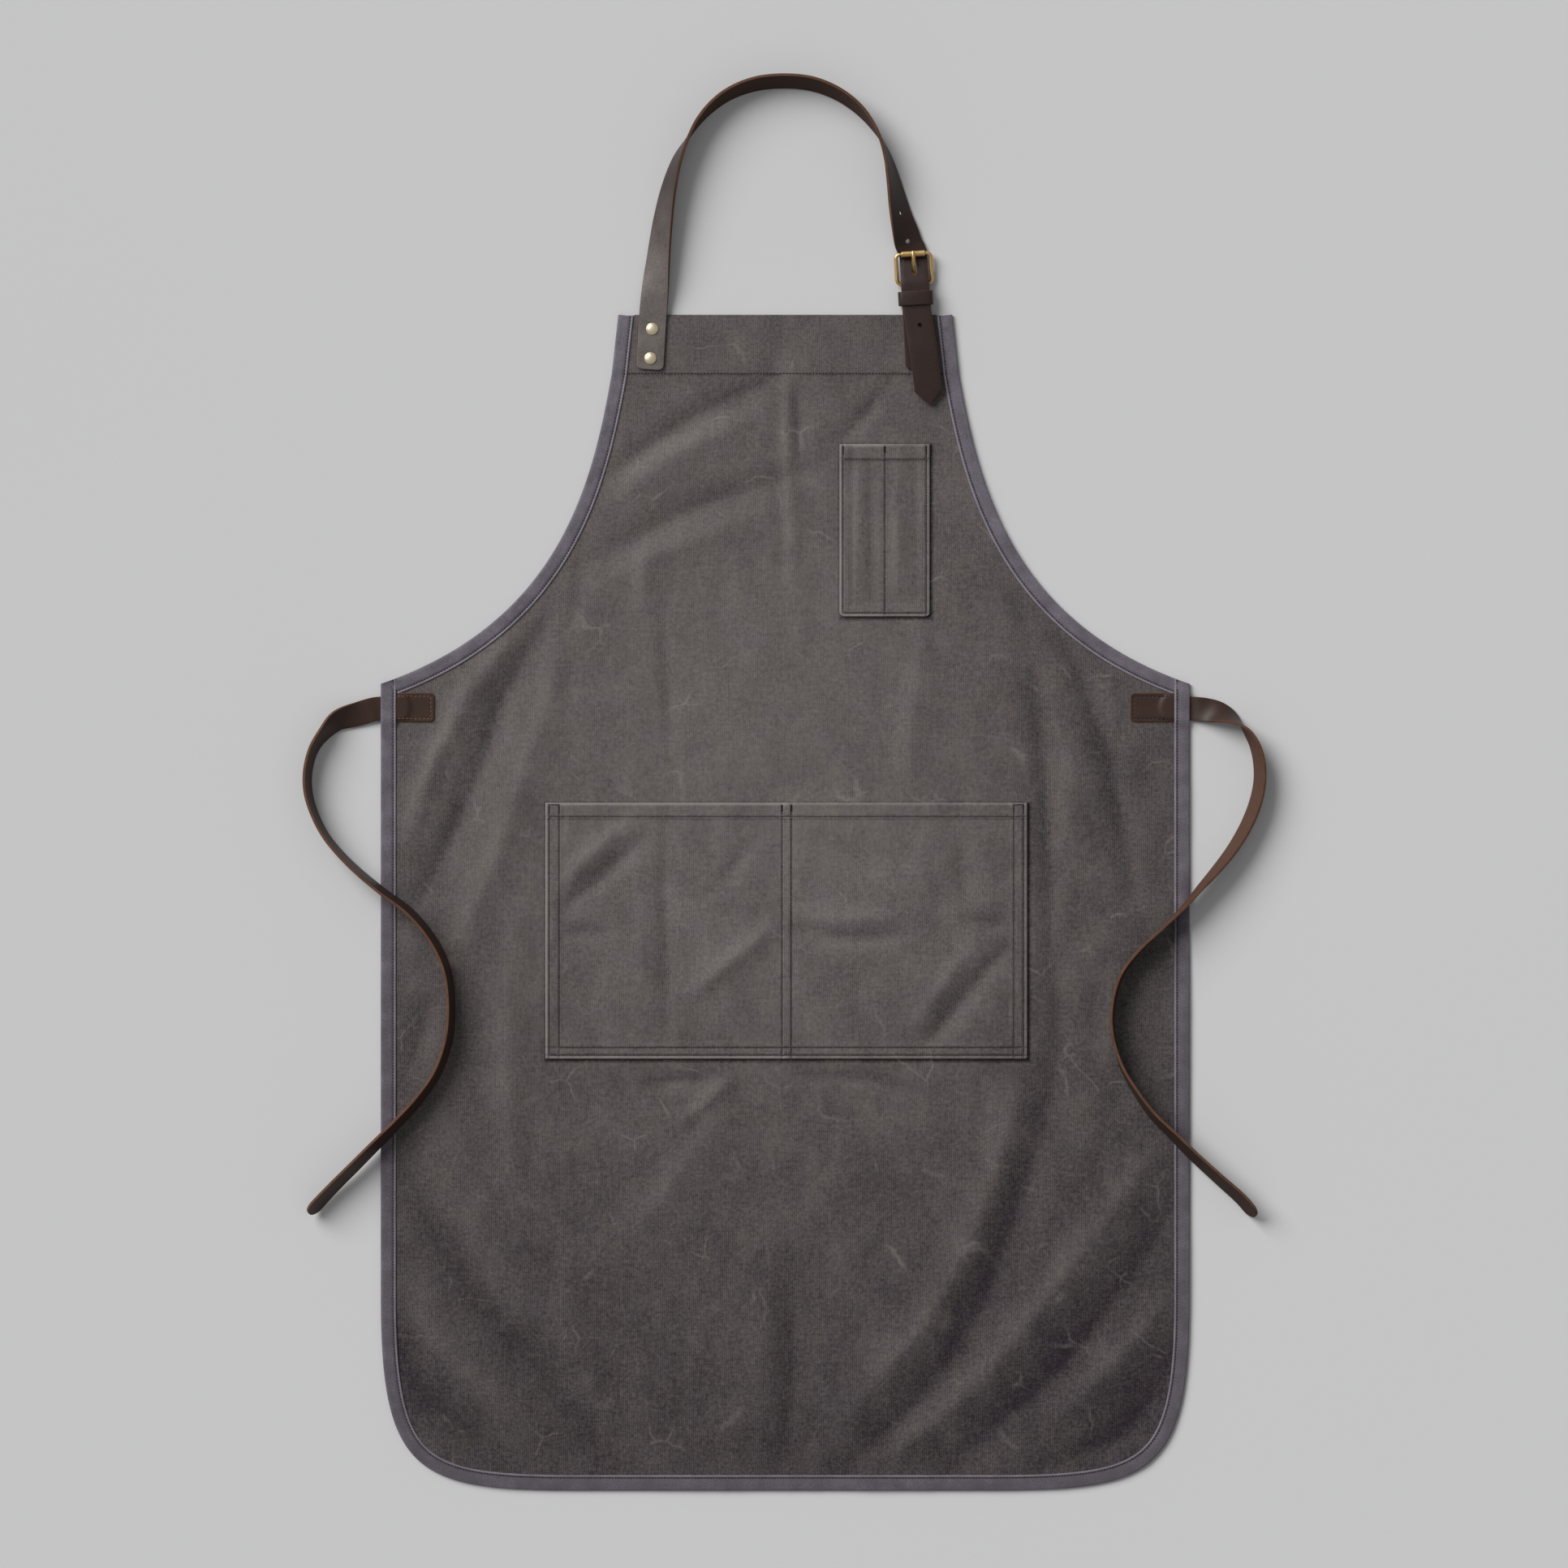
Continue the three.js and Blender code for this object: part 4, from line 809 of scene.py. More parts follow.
class Finish:
    """A material being made, with one method that adds any node to it."""

    def __init__(self, name):
        self.material = bpy.data.materials.new(name)
        self.material.use_nodes = True
        self.tree = self.material.node_tree
        self.shader = self.tree.nodes["Principled BSDF"]

    def put(self, socket, value):
        """Links a value to a socket, or sets the socket to a number or colour."""
        if isinstance(value, Value):
            self.tree.links.new(value.socket, socket)
        elif hasattr(socket.default_value, "__len__") and len(socket.default_value) > len(value):
            socket.default_value = (*value, 1.0)
        else:
            socket.default_value = value

    def node(self, kind, settings=None, sockets=None, out=0):
        """A node of a kind, with its settings first and then its sockets' values or links."""
        made = self.tree.nodes.new(kind)
        for name, value in (settings or {}).items():
            setattr(made, name, value)
        for name, value in (sockets or {}).items():
            self.put(made.inputs[name], value)
        return Value(self, made.outputs[out])

    def place(self):
        """Object coordinates."""
        return self.node("ShaderNodeTexCoord", out=3)

    def read(self, name):
        """The number that mark() put on each point."""
        return self.node("ShaderNodeAttribute", {"attribute_name": name}, out=2)

    def split(self, vector):
        """The three numbers of a vector."""
        made = self.node("ShaderNodeSeparateXYZ", sockets={0: vector}).socket.node
        return [Value(self, output) for output in made.outputs]

    def vector(self, x, y, z):
        return self.node("ShaderNodeCombineXYZ", sockets={0: x, 1: y, 2: z})

    def stretch(self, vector, factors):
        """A vector with each of its numbers multiplied by a factor."""
        return self.node("ShaderNodeVectorMath", {"operation": "MULTIPLY"}, {0: vector, 1: factors})

    def noise(self, vector, size, detail=2.0, rough=0.5):
        """Noise around 0.5 whose blotches are about one size across."""
        return self.node("ShaderNodeTexNoise", sockets={
            "Vector": vector, "Scale": 1 / size, "Detail": detail, "Roughness": rough})

    def cells(self, vector, size, feature="F1"):
        """Distance to the middles or the edges of cells about one size across, in cell sizes."""
        return self.node("ShaderNodeTexVoronoi", {"feature": feature},
                         {"Vector": vector, "Scale": 1 / size})

    def mix(self, first, second, share, blend="MIX"):
        """A colour between two others, or one blended into the other."""
        return self.node("ShaderNodeMix",
                         {"data_type": "RGBA", "blend_type": blend, "clamp_factor": False},
                         {0: share, 6: first, 7: second}, out=2)

    def relief(self, height, strength=1.0):
        """Surface relief of a height in metres, as a normal."""
        return self.node("ShaderNodeBump", sockets={
            "Height": height, "Distance": 1.0, "Strength": strength})

    def end(self, **sockets):
        """Sets the shader's sockets and gives the finished material. Spaces in a socket's name
        are written as underlines."""
        for name, value in sockets.items():
            self.put(self.shader.inputs[name.replace("_", " ")], value)
        return self.material


def painted_patch_shadow(x, y, patch):
    """Painted shadow along a sewn patch's edge: 1 beside the patch, fading to 0 past 3 mm on both sides,
    and heavier below and to the right."""
    low, high = patch["low"], patch["high"]
    middle_x, middle_y = (low[0] + high[0]) / 2 + 0.9 * MM, (low[1] + high[1]) / 2 - 1.2 * MM
    away_x = (x - middle_x).size() - (high[0] - low[0]) / 2
    away_y = (y - (middle_y + HEM_Y)).size() - (high[1] - low[1]) / 2
    away = away_x.most(away_y)
    return away.rise(3.2 * MM, -0.5 * MM) * away.rise(-3.5 * MM, -1.5 * MM)


def canvas_finish(name, dark, light, pitch, scuff_and_sheen, beside=()):
    """Waxed plain-weave canvas: yarns pass over each other as sin x times sin y at the yarn
    pitch, mottled by wax, with fine pale scuffs where it has been creased, painted light and shade on
    the folds, and a painted shadow beside the patches that are sewn on it."""
    finish = Finish(name)
    place = finish.place()
    waver = finish.noise(place, 6 * MM, 1.0) - 0.5
    x, y, _ = finish.split(place)
    turn = 2 * math.pi / pitch
    warp = ((x + waver * (0.55 * pitch)) * turn).sine()
    weft = ((y + waver * (0.45 * pitch)) * turn).sine()
    weave = warp * weft
    warp_slub = finish.noise(finish.stretch(place, (900, 60, 60)), 1.0, 1.0) - 0.5
    weft_slub = finish.noise(finish.stretch(place, (60, 900, 60)), 1.0, 1.0) - 0.5
    mottle = finish.noise(finish.stretch(place, (1.2, 0.75, 1)), 34 * MM, 5.0, 0.62) - 0.5
    blotch = finish.noise(place, 110 * MM, 3.0) - 0.5
    speck = finish.noise(place, 2.6 * MM, 3.0, 0.7) - 0.5
    # Read from the points: wax rubbed pale on the folds' ridges, with painted light and shade on their
    # slopes and valleys
    wear = finish.read("wear")
    bent = finish.node("ShaderNodeVectorMath", {"operation": "ADD"}, {
        0: place, 1: finish.stretch(finish.node(
            "ShaderNodeTexNoise", sockets={"Vector": place, "Scale": 28.0}, out=1), (0.03, 0.03, 0))})
    crease = finish.cells(bent, 46 * MM, "DISTANCE_TO_EDGE").rise(0.034, 0.004)
    crease = crease * finish.noise(place, 38 * MM, 2.0).rise(0.52, 0.70)
    tone = (weave * 0.46 + warp * 0.14 + (warp_slub + weft_slub) * 0.30 + mottle * 0.80 + blotch * 0.30
            + speck * 1.5 + wear * 0.78 + crease * scuff_and_sheen + 0.42)
    # Painted shadow beside each sewn patch, heavier below and to the right
    for patch in beside:
        tone = tone - painted_patch_shadow(x, y, patch) * 0.75
    tint = finish.mix(dark, light, tone.most(-0.35).least(1.6))
    olive = finish.noise(place, 27 * MM, 4.0).rise(0.35, 0.68)
    warm = finish.mix((0.99, 0.98, 1.02), (1.01, 1.005, 0.975), olive)
    height = (weave * (0.085 * MM) + (warp_slub + weft_slub) * (0.12 * MM) + speck * (0.12 * MM)
              + crease * (0.25 * MM) + mottle * (0.8 * MM))
    return finish.end(
        Base_Color=finish.mix(tint, warm, 1.0, "MULTIPLY"),
        Roughness=(0.80 - crease * 0.08 - wear * 0.05 + mottle * 0.12).least(0.95),
        Normal=finish.relief(height, 0.8), Sheen_Weight=0.06, Specular_IOR_Level=0.28)


def tape_finish(colours):
    """Cotton twill tape: fine slanting ribs, sin of x plus y, with a painted highlight on its edge and
    lip, painted shade in its stitch groove and at its inner end, and lighter towards the top of the
    apron.
    """
    finish = Finish("twill_tape")
    place = finish.place()
    x, y, _ = finish.split(place)
    waver = finish.noise(place, 5 * MM, 1.0) - 0.5
    twill = ((x + y * 0.8 + waver * (0.7 * MM)) * (2 * math.pi / (0.95 * MM))).sine()
    thread = finish.noise(place, 1.1 * MM, 2.0, 0.6) - 0.5
    mottle = finish.noise(place, 16 * MM, 3.0) - 0.5
    # Painted light and shade across the tape: a highlight on its edge and lip, shade in its stitch groove
    # and a contact shadow at its inner end
    lip = finish.read("lip")
    # Lighter towards the top of the apron
    towards_top = y.rise(HEM_Y + 0.02, HEM_Y + 0.95)
    tone = twill * 0.22 + thread * 1.2 + mottle * 0.95 + lip * 0.62 + towards_top * 0.34 + 0.10
    height = twill * (0.05 * MM) + thread * (0.12 * MM)
    return finish.end(
        Base_Color=finish.mix(colours.tape_dark, colours.tape_light, tone.most(0).least(1.4)),
        Roughness=0.88, Normal=finish.relief(height, 0.8), Sheen_Weight=0.10,
        Specular_IOR_Level=0.25)


def thread_finish(name, tint):
    """Waxed sewing thread with its twist."""
    finish = Finish(name)
    place = finish.place()
    x, y, z = finish.split(place)
    twist = ((x + y + z) * (2 * math.pi / (0.5 * MM))).sine()
    fuzz = finish.noise(place, 1.5 * MM) - 0.5
    shade = finish.mix(tint, tuple(c * 2.0 for c in tint), (fuzz + 0.25).most(0))
    return finish.end(Base_Color=shade, Roughness=0.6, Normal=finish.relief(twist * (0.03 * MM)))


# Pale grain colour of the painted sheen near the neck strap's riveted end
PAINTED_SHEEN_GRAIN = (0.185, 0.163, 0.153)


def leather_finish(name, grain, edge, suede, gloss, fade=None, painted_sheen=None):
    """Leather that knows its sides: smooth grain with pores and fine creases, a raw cut edge
    and a rough flesh side. Where fade is given, the flesh darkens over that stretch. Where a sheen
    stretch is given, the first stretch of the grain gets a pale painted sheen that fades out."""
    finish = Finish(name)
    place = finish.place()
    along, across, face = finish.read("along"), finish.read("across"), finish.read("face")
    flow = finish.vector(along, across, face * 0.02)
    cloud = finish.noise(place, 22 * MM, 3.0) - 0.5
    fibre = finish.noise(finish.stretch(flow, (120, 900, 1)), 1.0, 3.0, 0.65) - 0.5
    pores = finish.cells(flow, 0.9 * MM).rise(0.10, 0.45)
    crackle = finish.noise(finish.stretch(flow, (1.5, 0.8, 1)), 2.4 * MM, 5.0, 0.68) - 0.5
    on_edge = (face - 1).size().rise(0.78, 0.35)
    on_flesh = face.rise(1.25, 1.7)
    nap = finish.noise(place, 0.8 * MM, 4.0, 0.75) - 0.5
    grain_tint = finish.mix(
        tuple(c * 0.72 for c in grain), tuple(c * 1.5 for c in grain),
        (cloud * 0.8 + crackle * 0.7 + 0.42).most(0).least(1))
    # Painted sheen: the grain is painted pale and mottled over the first stretch, fading out along the
    # strap
    if painted_sheen:
        scuff_and_sheen = (1 - along.rise(*painted_sheen)) * (crackle * 0.9 + cloud * 1.0 + 0.66).most(0).least(1)
        grain_tint = finish.mix(grain_tint, PAINTED_SHEEN_GRAIN, scuff_and_sheen)
    edge_tint = finish.mix(
        tuple(c * 0.55 for c in edge), tuple(c * 1.12 for c in edge),
        (fibre * 1.5 + 0.55).most(0).least(1))
    suede_tint = finish.mix(
        tuple(c * 0.60 for c in suede), tuple(c * 1.25 for c in suede),
        (nap * 2.0 + fibre * 0.8 + 0.45).most(0).least(1))
    if fade:
        suede_tint = finish.mix(suede_tint, tuple(c * 0.9 for c in grain), along.rise(*fade))
    tint = finish.mix(finish.mix(grain_tint, suede_tint, on_flesh), edge_tint, on_edge)
    smooth_side = (1 - on_flesh) * (1 - on_edge)
    height = (pores * (0.03 * MM) + crackle * (0.09 * MM)) * smooth_side
    height = height + (nap * (0.14 * MM) + fibre * (0.08 * MM)) * (1 - smooth_side)
    rough = smooth_side * (gloss - 0.82) + 0.82 + crackle * 0.10
    return finish.end(
        Base_Color=tint, Roughness=rough, Normal=finish.relief(height),
        Specular_IOR_Level=0.28)


def brass_finish(name, tint, rough, stain):
    """Brass with a soft uneven lustre, fine scratches and darker tarnish."""
    finish = Finish(name)
    place = finish.place()
    cloud = finish.noise(place, 5 * MM, 3.0) - 0.5
    scratch = finish.noise(finish.stretch(place, (2600, 300, 900)), 1.0, 2.0, 0.6) - 0.5
    tarnish = finish.noise(place, 2.2 * MM, 4.0, 0.65).rise(0.50, 0.72)
    shade = finish.mix(tint, tuple(c * 0.45 for c in tint), (tarnish * stain + cloud * 0.3).most(0))
    return finish.end(
        Base_Color=shade, Metallic=1.0, Roughness=(cloud * 0.25 + scratch * 0.12 + rough + tarnish * 0.1),
        Normal=finish.relief(scratch * (0.012 * MM) + cloud * (0.02 * MM)))


def floor_finish(colours):
    """Plain pale paper with a faint slow drift of tone."""
    finish = Finish("studio_floor")
    drift = finish.noise(finish.place(), 0.9, 2.0) - 0.5
    painted_shading = tuple(colours.floor)
    shade = finish.mix(painted_shading, tuple(c * 0.97 for c in painted_shading), (drift + 0.5).most(0).least(1))
    return finish.end(Base_Color=shade, Roughness=0.95, Specular_IOR_Level=0.1)


FINISHES = {}


def finish_named(name):
    """The finishes, each made the first time that it is asked for."""
    if name in FINISHES:
        return FINISHES[name]
    scene = bpy.context.scene
    colours, sizes = scene.apron_colours, scene.apron_sizes
    grain, tie = tuple(colours.strap_grain), tuple(colours.tie_grain)
    edge, suede = tuple(colours.cut_edge), tuple(colours.suede)
    dressed = tuple(c * 0.9 for c in edge)
    makers = {
        "canvas": lambda: canvas_finish(
            "waxed_canvas", colours.canvas_dark, colours.canvas_light, sizes.weave, 0.42,
            POCKETS.values()),
        "pocket": lambda: canvas_finish(
            "pocket_canvas", colours.pocket_dark, colours.pocket_light, sizes.weave, 0.20),
        "tape": lambda: tape_finish(colours),
        "thread": lambda: thread_finish("sewing_thread", tuple(colours.thread)),
        # The neck strap's grain gets a painted sheen near its riveted end
        "strap": lambda: leather_finish(
            "strap_leather", grain, dressed, tuple(c * 0.55 for c in suede), 0.42,
            painted_sheen=(0.04, 0.20)),
        "chape": lambda: leather_finish("chape_leather", grain, dressed, suede, 0.42),
        "tie": lambda: leather_finish("tie_leather", tie, edge, suede, 0.46),
        "tie_fading": lambda: leather_finish(
            "tie_leather_fading", tie, edge, suede, 0.46, (0.24, 0.36)),
        "rivet": lambda: brass_finish("rivet_brass", tuple(colours.pale_brass), 0.38, 0.08),
        # Painted shade: the chape's rivet caps are darkened brass, so that they read dark where they show
        # through the strap's holes
        "shaded_rivet": lambda: brass_finish(
            "shaded_rivet_brass", tuple(c * 0.22 for c in colours.antique_brass), 0.5, 0.6),
        "light_thread": lambda: thread_finish("light_thread", tuple(edge)),
        "buckle": lambda: brass_finish("buckle_brass", tuple(colours.antique_brass), 0.36, 0.45),
    }
    FINISHES[name] = makers[name]()
    return FINISHES[name]


# ---------------------------------------------------------------- stage

def add_light(name, spread, strength, toward):
    """Even light from far away: how wide its source looks, its strength and where it comes from."""
    light = bpy.data.lights.new(name, "SUN")
    light.angle = math.radians(spread)
    light.energy = strength
    lamp = bpy.data.objects.new(name, light)
    lamp.location = toward
    lamp.rotation_euler = Vector(toward).to_track_quat("Z", "Y").to_euler()
    bpy.context.scene.collection.objects.link(lamp)


class APRON_OT_stage(bpy.types.Operator):
    """Makes the camera straight above, the soft lights and the plain pale floor"""
    bl_idname = "apron.stage"
    bl_label = "Stage"

    def execute(self, context):
        camera = bpy.data.cameras.new("camera")
        camera.lens = camera.sensor_width * VIEW_HEIGHT / VIEW_WIDTH
        camera.clip_end = 100
        viewer = bpy.data.objects.new("camera", camera)
        viewer.location = (*VIEW_MIDDLE, VIEW_HEIGHT)
        context.scene.collection.objects.link(viewer)
        context.scene.camera = viewer
        context.scene.view_settings.view_transform = "Standard"

        add_light("key", 40, 3.2, (-2.2, 1.9, 2.25))
        world = bpy.data.worlds.new("studio")
        world.use_nodes = True
        world.node_tree.nodes["Background"].inputs["Color"].default_value = (1, 1, 1, 1)
        world.node_tree.nodes["Background"].inputs["Strength"].default_value = 0.30
        context.scene.world = world

        reach, drop = 6.0, -0.2 * MM
        corners = [(-reach, -reach), (reach, -reach), (reach, reach), (-reach, reach)]
        mesh = bpy.data.meshes.new("floor")
        mesh.from_pydata([(x, y, drop) for x, y in corners], [], [(0, 1, 2, 3)])
        mesh.materials.append(floor_finish(context.scene.apron_colours))
        floor = bpy.data.objects.new("floor", mesh)
        context.scene.collection.objects.link(floor)
        return {"FINISHED"}


# ---------------------------------------------------------------- the pieces

class APRON_OT_waist_ties(bpy.types.Operator):
    """Makes the two leather waist ties, each a flat lace of its real length"""
    bl_idname = "apron.waist_ties"
    bl_label = "Waist ties"

    def execute(self, context):
        for name, stations, side, finish in (
                ("waist_tie_left", LEFT_TIE, -1, "tie"),
                ("waist_tie_right", RIGHT_TIE, 1, "tie_fading")):
            route = tie_route(stations, side)
            end = TIE_WIDTH / 2
            steps = strap_steps(route.length, 2.2 * MM, end, end)
            share = smooth(steps, TIE_ANCHOR + 1.5 * MM, TIE_ANCHOR + 8.5 * MM)
            thick = TIE_SKIVED + (TIE_THICK - TIE_SKIVED) * share
            width = np.minimum(rounded_end(TIE_WIDTH, end * 0.8, steps),
                               rounded_end(TIE_WIDTH, end * 0.97, route.length - steps))
            tie = route.strap(name + "_lace", steps, width, thick, 0.5 * MM)
            settle(tie, "root", finish_named(finish), "tie_leather", name)
            middle = route.middle(np.linspace(0, route.length, 120))[:, :3]
            path = on_apron(*middle.T)
            leave = on_apron(side * SIDE[0], TAB_Y - 1.0 * MM, ON_CANVAS + TIE_SKIVED / 2)
        return {"FINISHED"}


def canvas_sheet(sizes):
    """The canvas as one sheet: rows run from the bottom hem to the fold at the top of the bib,
    round it in a half circle, and down behind as the turned-in hem. The lower face lies one
    thickness inside the upper one."""
    inset = TAPE + GAP
    outer_turn = 1.05 * MM
    fold_y = LENGTH - outer_turn
    rows = spaced(inset, fold_y, [inset, 0.02, BIB_SEAM_Y, LENGTH], 0.9 * MM, 5.2 * MM)
    share = np.linspace(-1, 1, 151)
    half = half_width(rows) - inset
    x, y = half[:, None] * share, np.broadcast_to(rows[:, None], (len(rows), len(share)))
    top = canvas_level(x, y, sizes.fold_height)
    upper, lower = [on_apron(x, y, top)], [on_apron(x, y, top - CANVAS)]
    wear = [cloth_wear_and_shade(x, y, CANVAS_FOLDS)]

    turn = np.radians(np.linspace(90, -90, 9))[1:, None]
    fold_half = BIB_TOP[0] - TAPE_WIDTH - 0.6 * MM
    fold_x = np.broadcast_to(fold_half * share, (len(turn), len(share)))
    for faces, radius in ((upper, outer_turn), (lower, outer_turn - CANVAS)):
        faces.append(on_apron(fold_x, fold_y + radius * np.cos(turn),
                              outer_turn + radius * np.sin(turn)))
    back = np.linspace(fold_y, BIB_SEAM_Y, 14)[1:, None]
    back_x = np.broadcast_to(fold_half * share, (len(back), len(share)))
    upper.append(on_apron(back_x, back, 0.0))
    lower.append(on_apron(back_x, back, CANVAS))
    wear.append(np.zeros((len(turn) + len(back), len(share))))
    return np.concatenate(upper), np.concatenate(lower), np.concatenate(wear)


class APRON_OT_canvas(bpy.types.Operator):
    """Makes the canvas body with its folds and the turned-down hem of the bib"""
    bl_idname = "apron.canvas"
    bl_label = "Canvas body"

    def execute(self, context):
        upper, lower, wear = canvas_sheet(context.scene.apron_sizes)
        canvas = shell("canvas_body", upper, lower)
        mark(canvas, wear=both_faces(wear))
        settle(canvas, "root", finish_named("canvas"), "canvas", "body_panel")
        return {"FINISHED"}


def tape_section():
    """Round a folded tape's section: how far in from the edge and how high each point lies, how
    much of it belongs to the front leg, and its painted light and shade: a painted highlight on the
    rounded edge and the lip, painted shade in the dip at the stitches and a painted contact shadow at
    the front leg's inner end. The front leg swells, dips at the stitches and ends in a raised lip."""
    front = [
        (-0.05, 1.55, 0.5, 0.2), (0.02, 2.30, 0.8, 0.3), (0.30, 2.85, 1, 0.3), (0.90, 3.14, 1, 0.15),
        (2.2, 3.28, 1, 0), (4.2, 3.34, 1, -0.05), (6.4, 3.30, 1, 0), (8.4, 3.18, 1, 0),
        (9.5, 3.02, 1, -0.2), (10.1, 2.78, 1, -0.5), (10.6, 2.68, 1, -0.6), (11.0, 2.82, 1, -0.2),
        (11.4, 3.12, 1, 0.6), (11.9, 3.28, 1, 1.0), (12.5, 3.22, 1, 1.0), (12.9, 2.96, 1, 0.6),
        (13.05, 2.62, 1, -0.3), (12.9, 2.42, 1, -0.8),
    ]
    inside = [(9.0, 2.40, 1, 0), (4.0, 2.40, 1, 0), (0.90, 2.36, 1, 0), (0.72, 2.10, 0.7, 0),
              (0.72, 1.00, 0.2, 0), (0.90, 0.74, 0, 0), (5.0, 0.70, 0, 0)]
    back = [(12.7, 0.70, 0, 0), (13.0, 0.40, 0, 0), (12.8, 0.02, 0, 0), (7.0, 0.0, 0, 0),
            (1.2, 0.0, 0, 0), (0.35, 0.18, 0, 0), (0.02, 0.75, 0.1, 0.1)]
    depth, height, leg, painted_shading = np.array(front + inside + back).T
    return depth * MM, height * MM, leg, painted_shading


def tape_along(name, line, inward, lift, sizes):
    """A folded tape carried along an edge: each ring stands across the edge, follows the
    cloth's level and is lifted where something lies under its front leg."""
    depth, height, leg, painted_shading = tape_section()
    flat = line[:, None] + inward[:, None] * depth[:, None]
    x, y = flat[..., 0], flat[..., 1]
    rise = np.maximum(canvas_level(x, y, sizes.fold_height) - CANVAS_TOP, 0)
    step = 9 * MM
    pucker = 0.20 * MM * np.sin(travel(line)[:, None] * 2 * np.pi / step
                                + 2.2 * np.sin(travel(line)[:, None] / (31 * MM)))
    pucker = pucker * np.exp(-((depth - 9 * MM) / (4 * MM)) ** 2) * leg
    z = height + rise * np.minimum(height / (3 * MM), 1) + leg * lift(x, y) + pucker
    piece = loft(name, on_apron(x, y, z))
    # Each point carries the painted light and shade of its place in the section
    return mark(piece, lip=np.broadcast_to(painted_shading, x.shape))


def skirt_edge():
    """The skirt's edge from the right side corner round the bottom to the left one, and the
    direction into the cloth. At both ends the tape is cut to follow the armhole."""
    right = skirt_line()
    line = evenly(np.vstack([right, right[-2::-1] * [-1, 1]]), 3.6 * MM)
    inward = right_of(headings(line))
    from_end = np.minimum(travel(line), travel(line)[::-1])
    slant = math.tan(ARMHOLE_SLANTS[1]) * (1 - smooth(from_end, 0, 20 * MM))
    inward[:, 1] += slant
    return line, inward


def toward_joint(inward, from_joint):
    """The way into the cloth, turned near the bib's joint so that both tapes' ends meet."""
    share = (1 - smooth(from_joint, 0, 16 * MM))[:, None]
    joint = -np.array([math.cos(BIB_JOINT), math.sin(BIB_JOINT)])
    return inward * (1 - share) + joint * share


def armhole_edge():
    """The armhole's edge, from the bib's hem to just under the skirt's binding."""
    line = evenly(armhole_line(), 3.4 * MM)
    return line[:-2], toward_joint(right_of(headings(line)), travel(line))[:-2]


def bib_edge():
    """The bib's edge beside its hem, from the top down to the armhole."""
    line = evenly(np.vstack([BIB_TOP, BIB_BASE]), 3.4 * MM)
    return line, toward_joint(right_of(headings(line)), travel(line)[::-1])


def over_tab(x, y):
    """How far the skirt's tape is lifted over a leather tab, and over the armhole's tape."""
    tab = 2.4 * MM * (1 - smooth(np.abs(y - TAB_Y), TAB_HALF - 1 * MM, TAB_HALF + 5 * MM))
    corner = 0.8 * MM * smooth(y - (SIDE[0] - np.abs(x)) * 0.34, TAB_Y + 15 * MM, TAB_Y + 19 * MM)
    return np.maximum(tab, corner)


def no_lift(x, _):
    """Nothing lies under the armholes' and the bib's tapes."""
    return 0.0 * x


class APRON_OT_bindings(bpy.types.Operator):
    """Makes the folded tapes that bind the skirt, the armholes and the bib"""
    bl_idname = "apron.bindings"
    bl_label = "Bindings"

    def execute(self, context):
        sizes = context.scene.apron_sizes
        tape = finish_named("tape")
        skirt = tape_along("skirt_tape", *skirt_edge(), over_tab, sizes)
        settle(skirt, "root", tape, "twill_tape", "skirt_binding")
        for place, edge in (("armhole", armhole_edge), ("bib", bib_edge)):
            line, inward = edge()
            for side, flip in (("right", 1), ("left", -1)):
                piece = tape_along(f"{place}_tape_{side}", line * [flip, 1], inward * [flip, 1],
                                   no_lift, sizes)
                settle(piece, "root", tape, "twill_tape", f"{place}_binding_{side}")
        return {"FINISHED"}


def patch_edges(patch, x, y):
    """Distances of places in from a patch's sides, its bottom and its top."""
    return (np.minimum(x - patch["low"][0], patch["high"][0] - x), y - patch["low"][1],
            patch["high"][1] - y)


def seam_depth(patch, x, y):
    """1 in the middle of a patch's lines of stitches, fading to 0 within 2 mm."""
    from_side, from_bottom, from_top = patch_edges(patch, x, y)
    lines = [from_side - depth for depth in patch["side_seams"]]
    lines += [from_bottom - depth for depth in patch["bottom_seams"]]
    lines += [from_top - patch["hem_seam"]] + [x - place for place in patch["dividers"]]
    nearest = np.abs(np.stack(np.broadcast_arrays(*lines))).min(axis=0)
    return np.exp(-(nearest / (0.85 * MM)) ** 2)


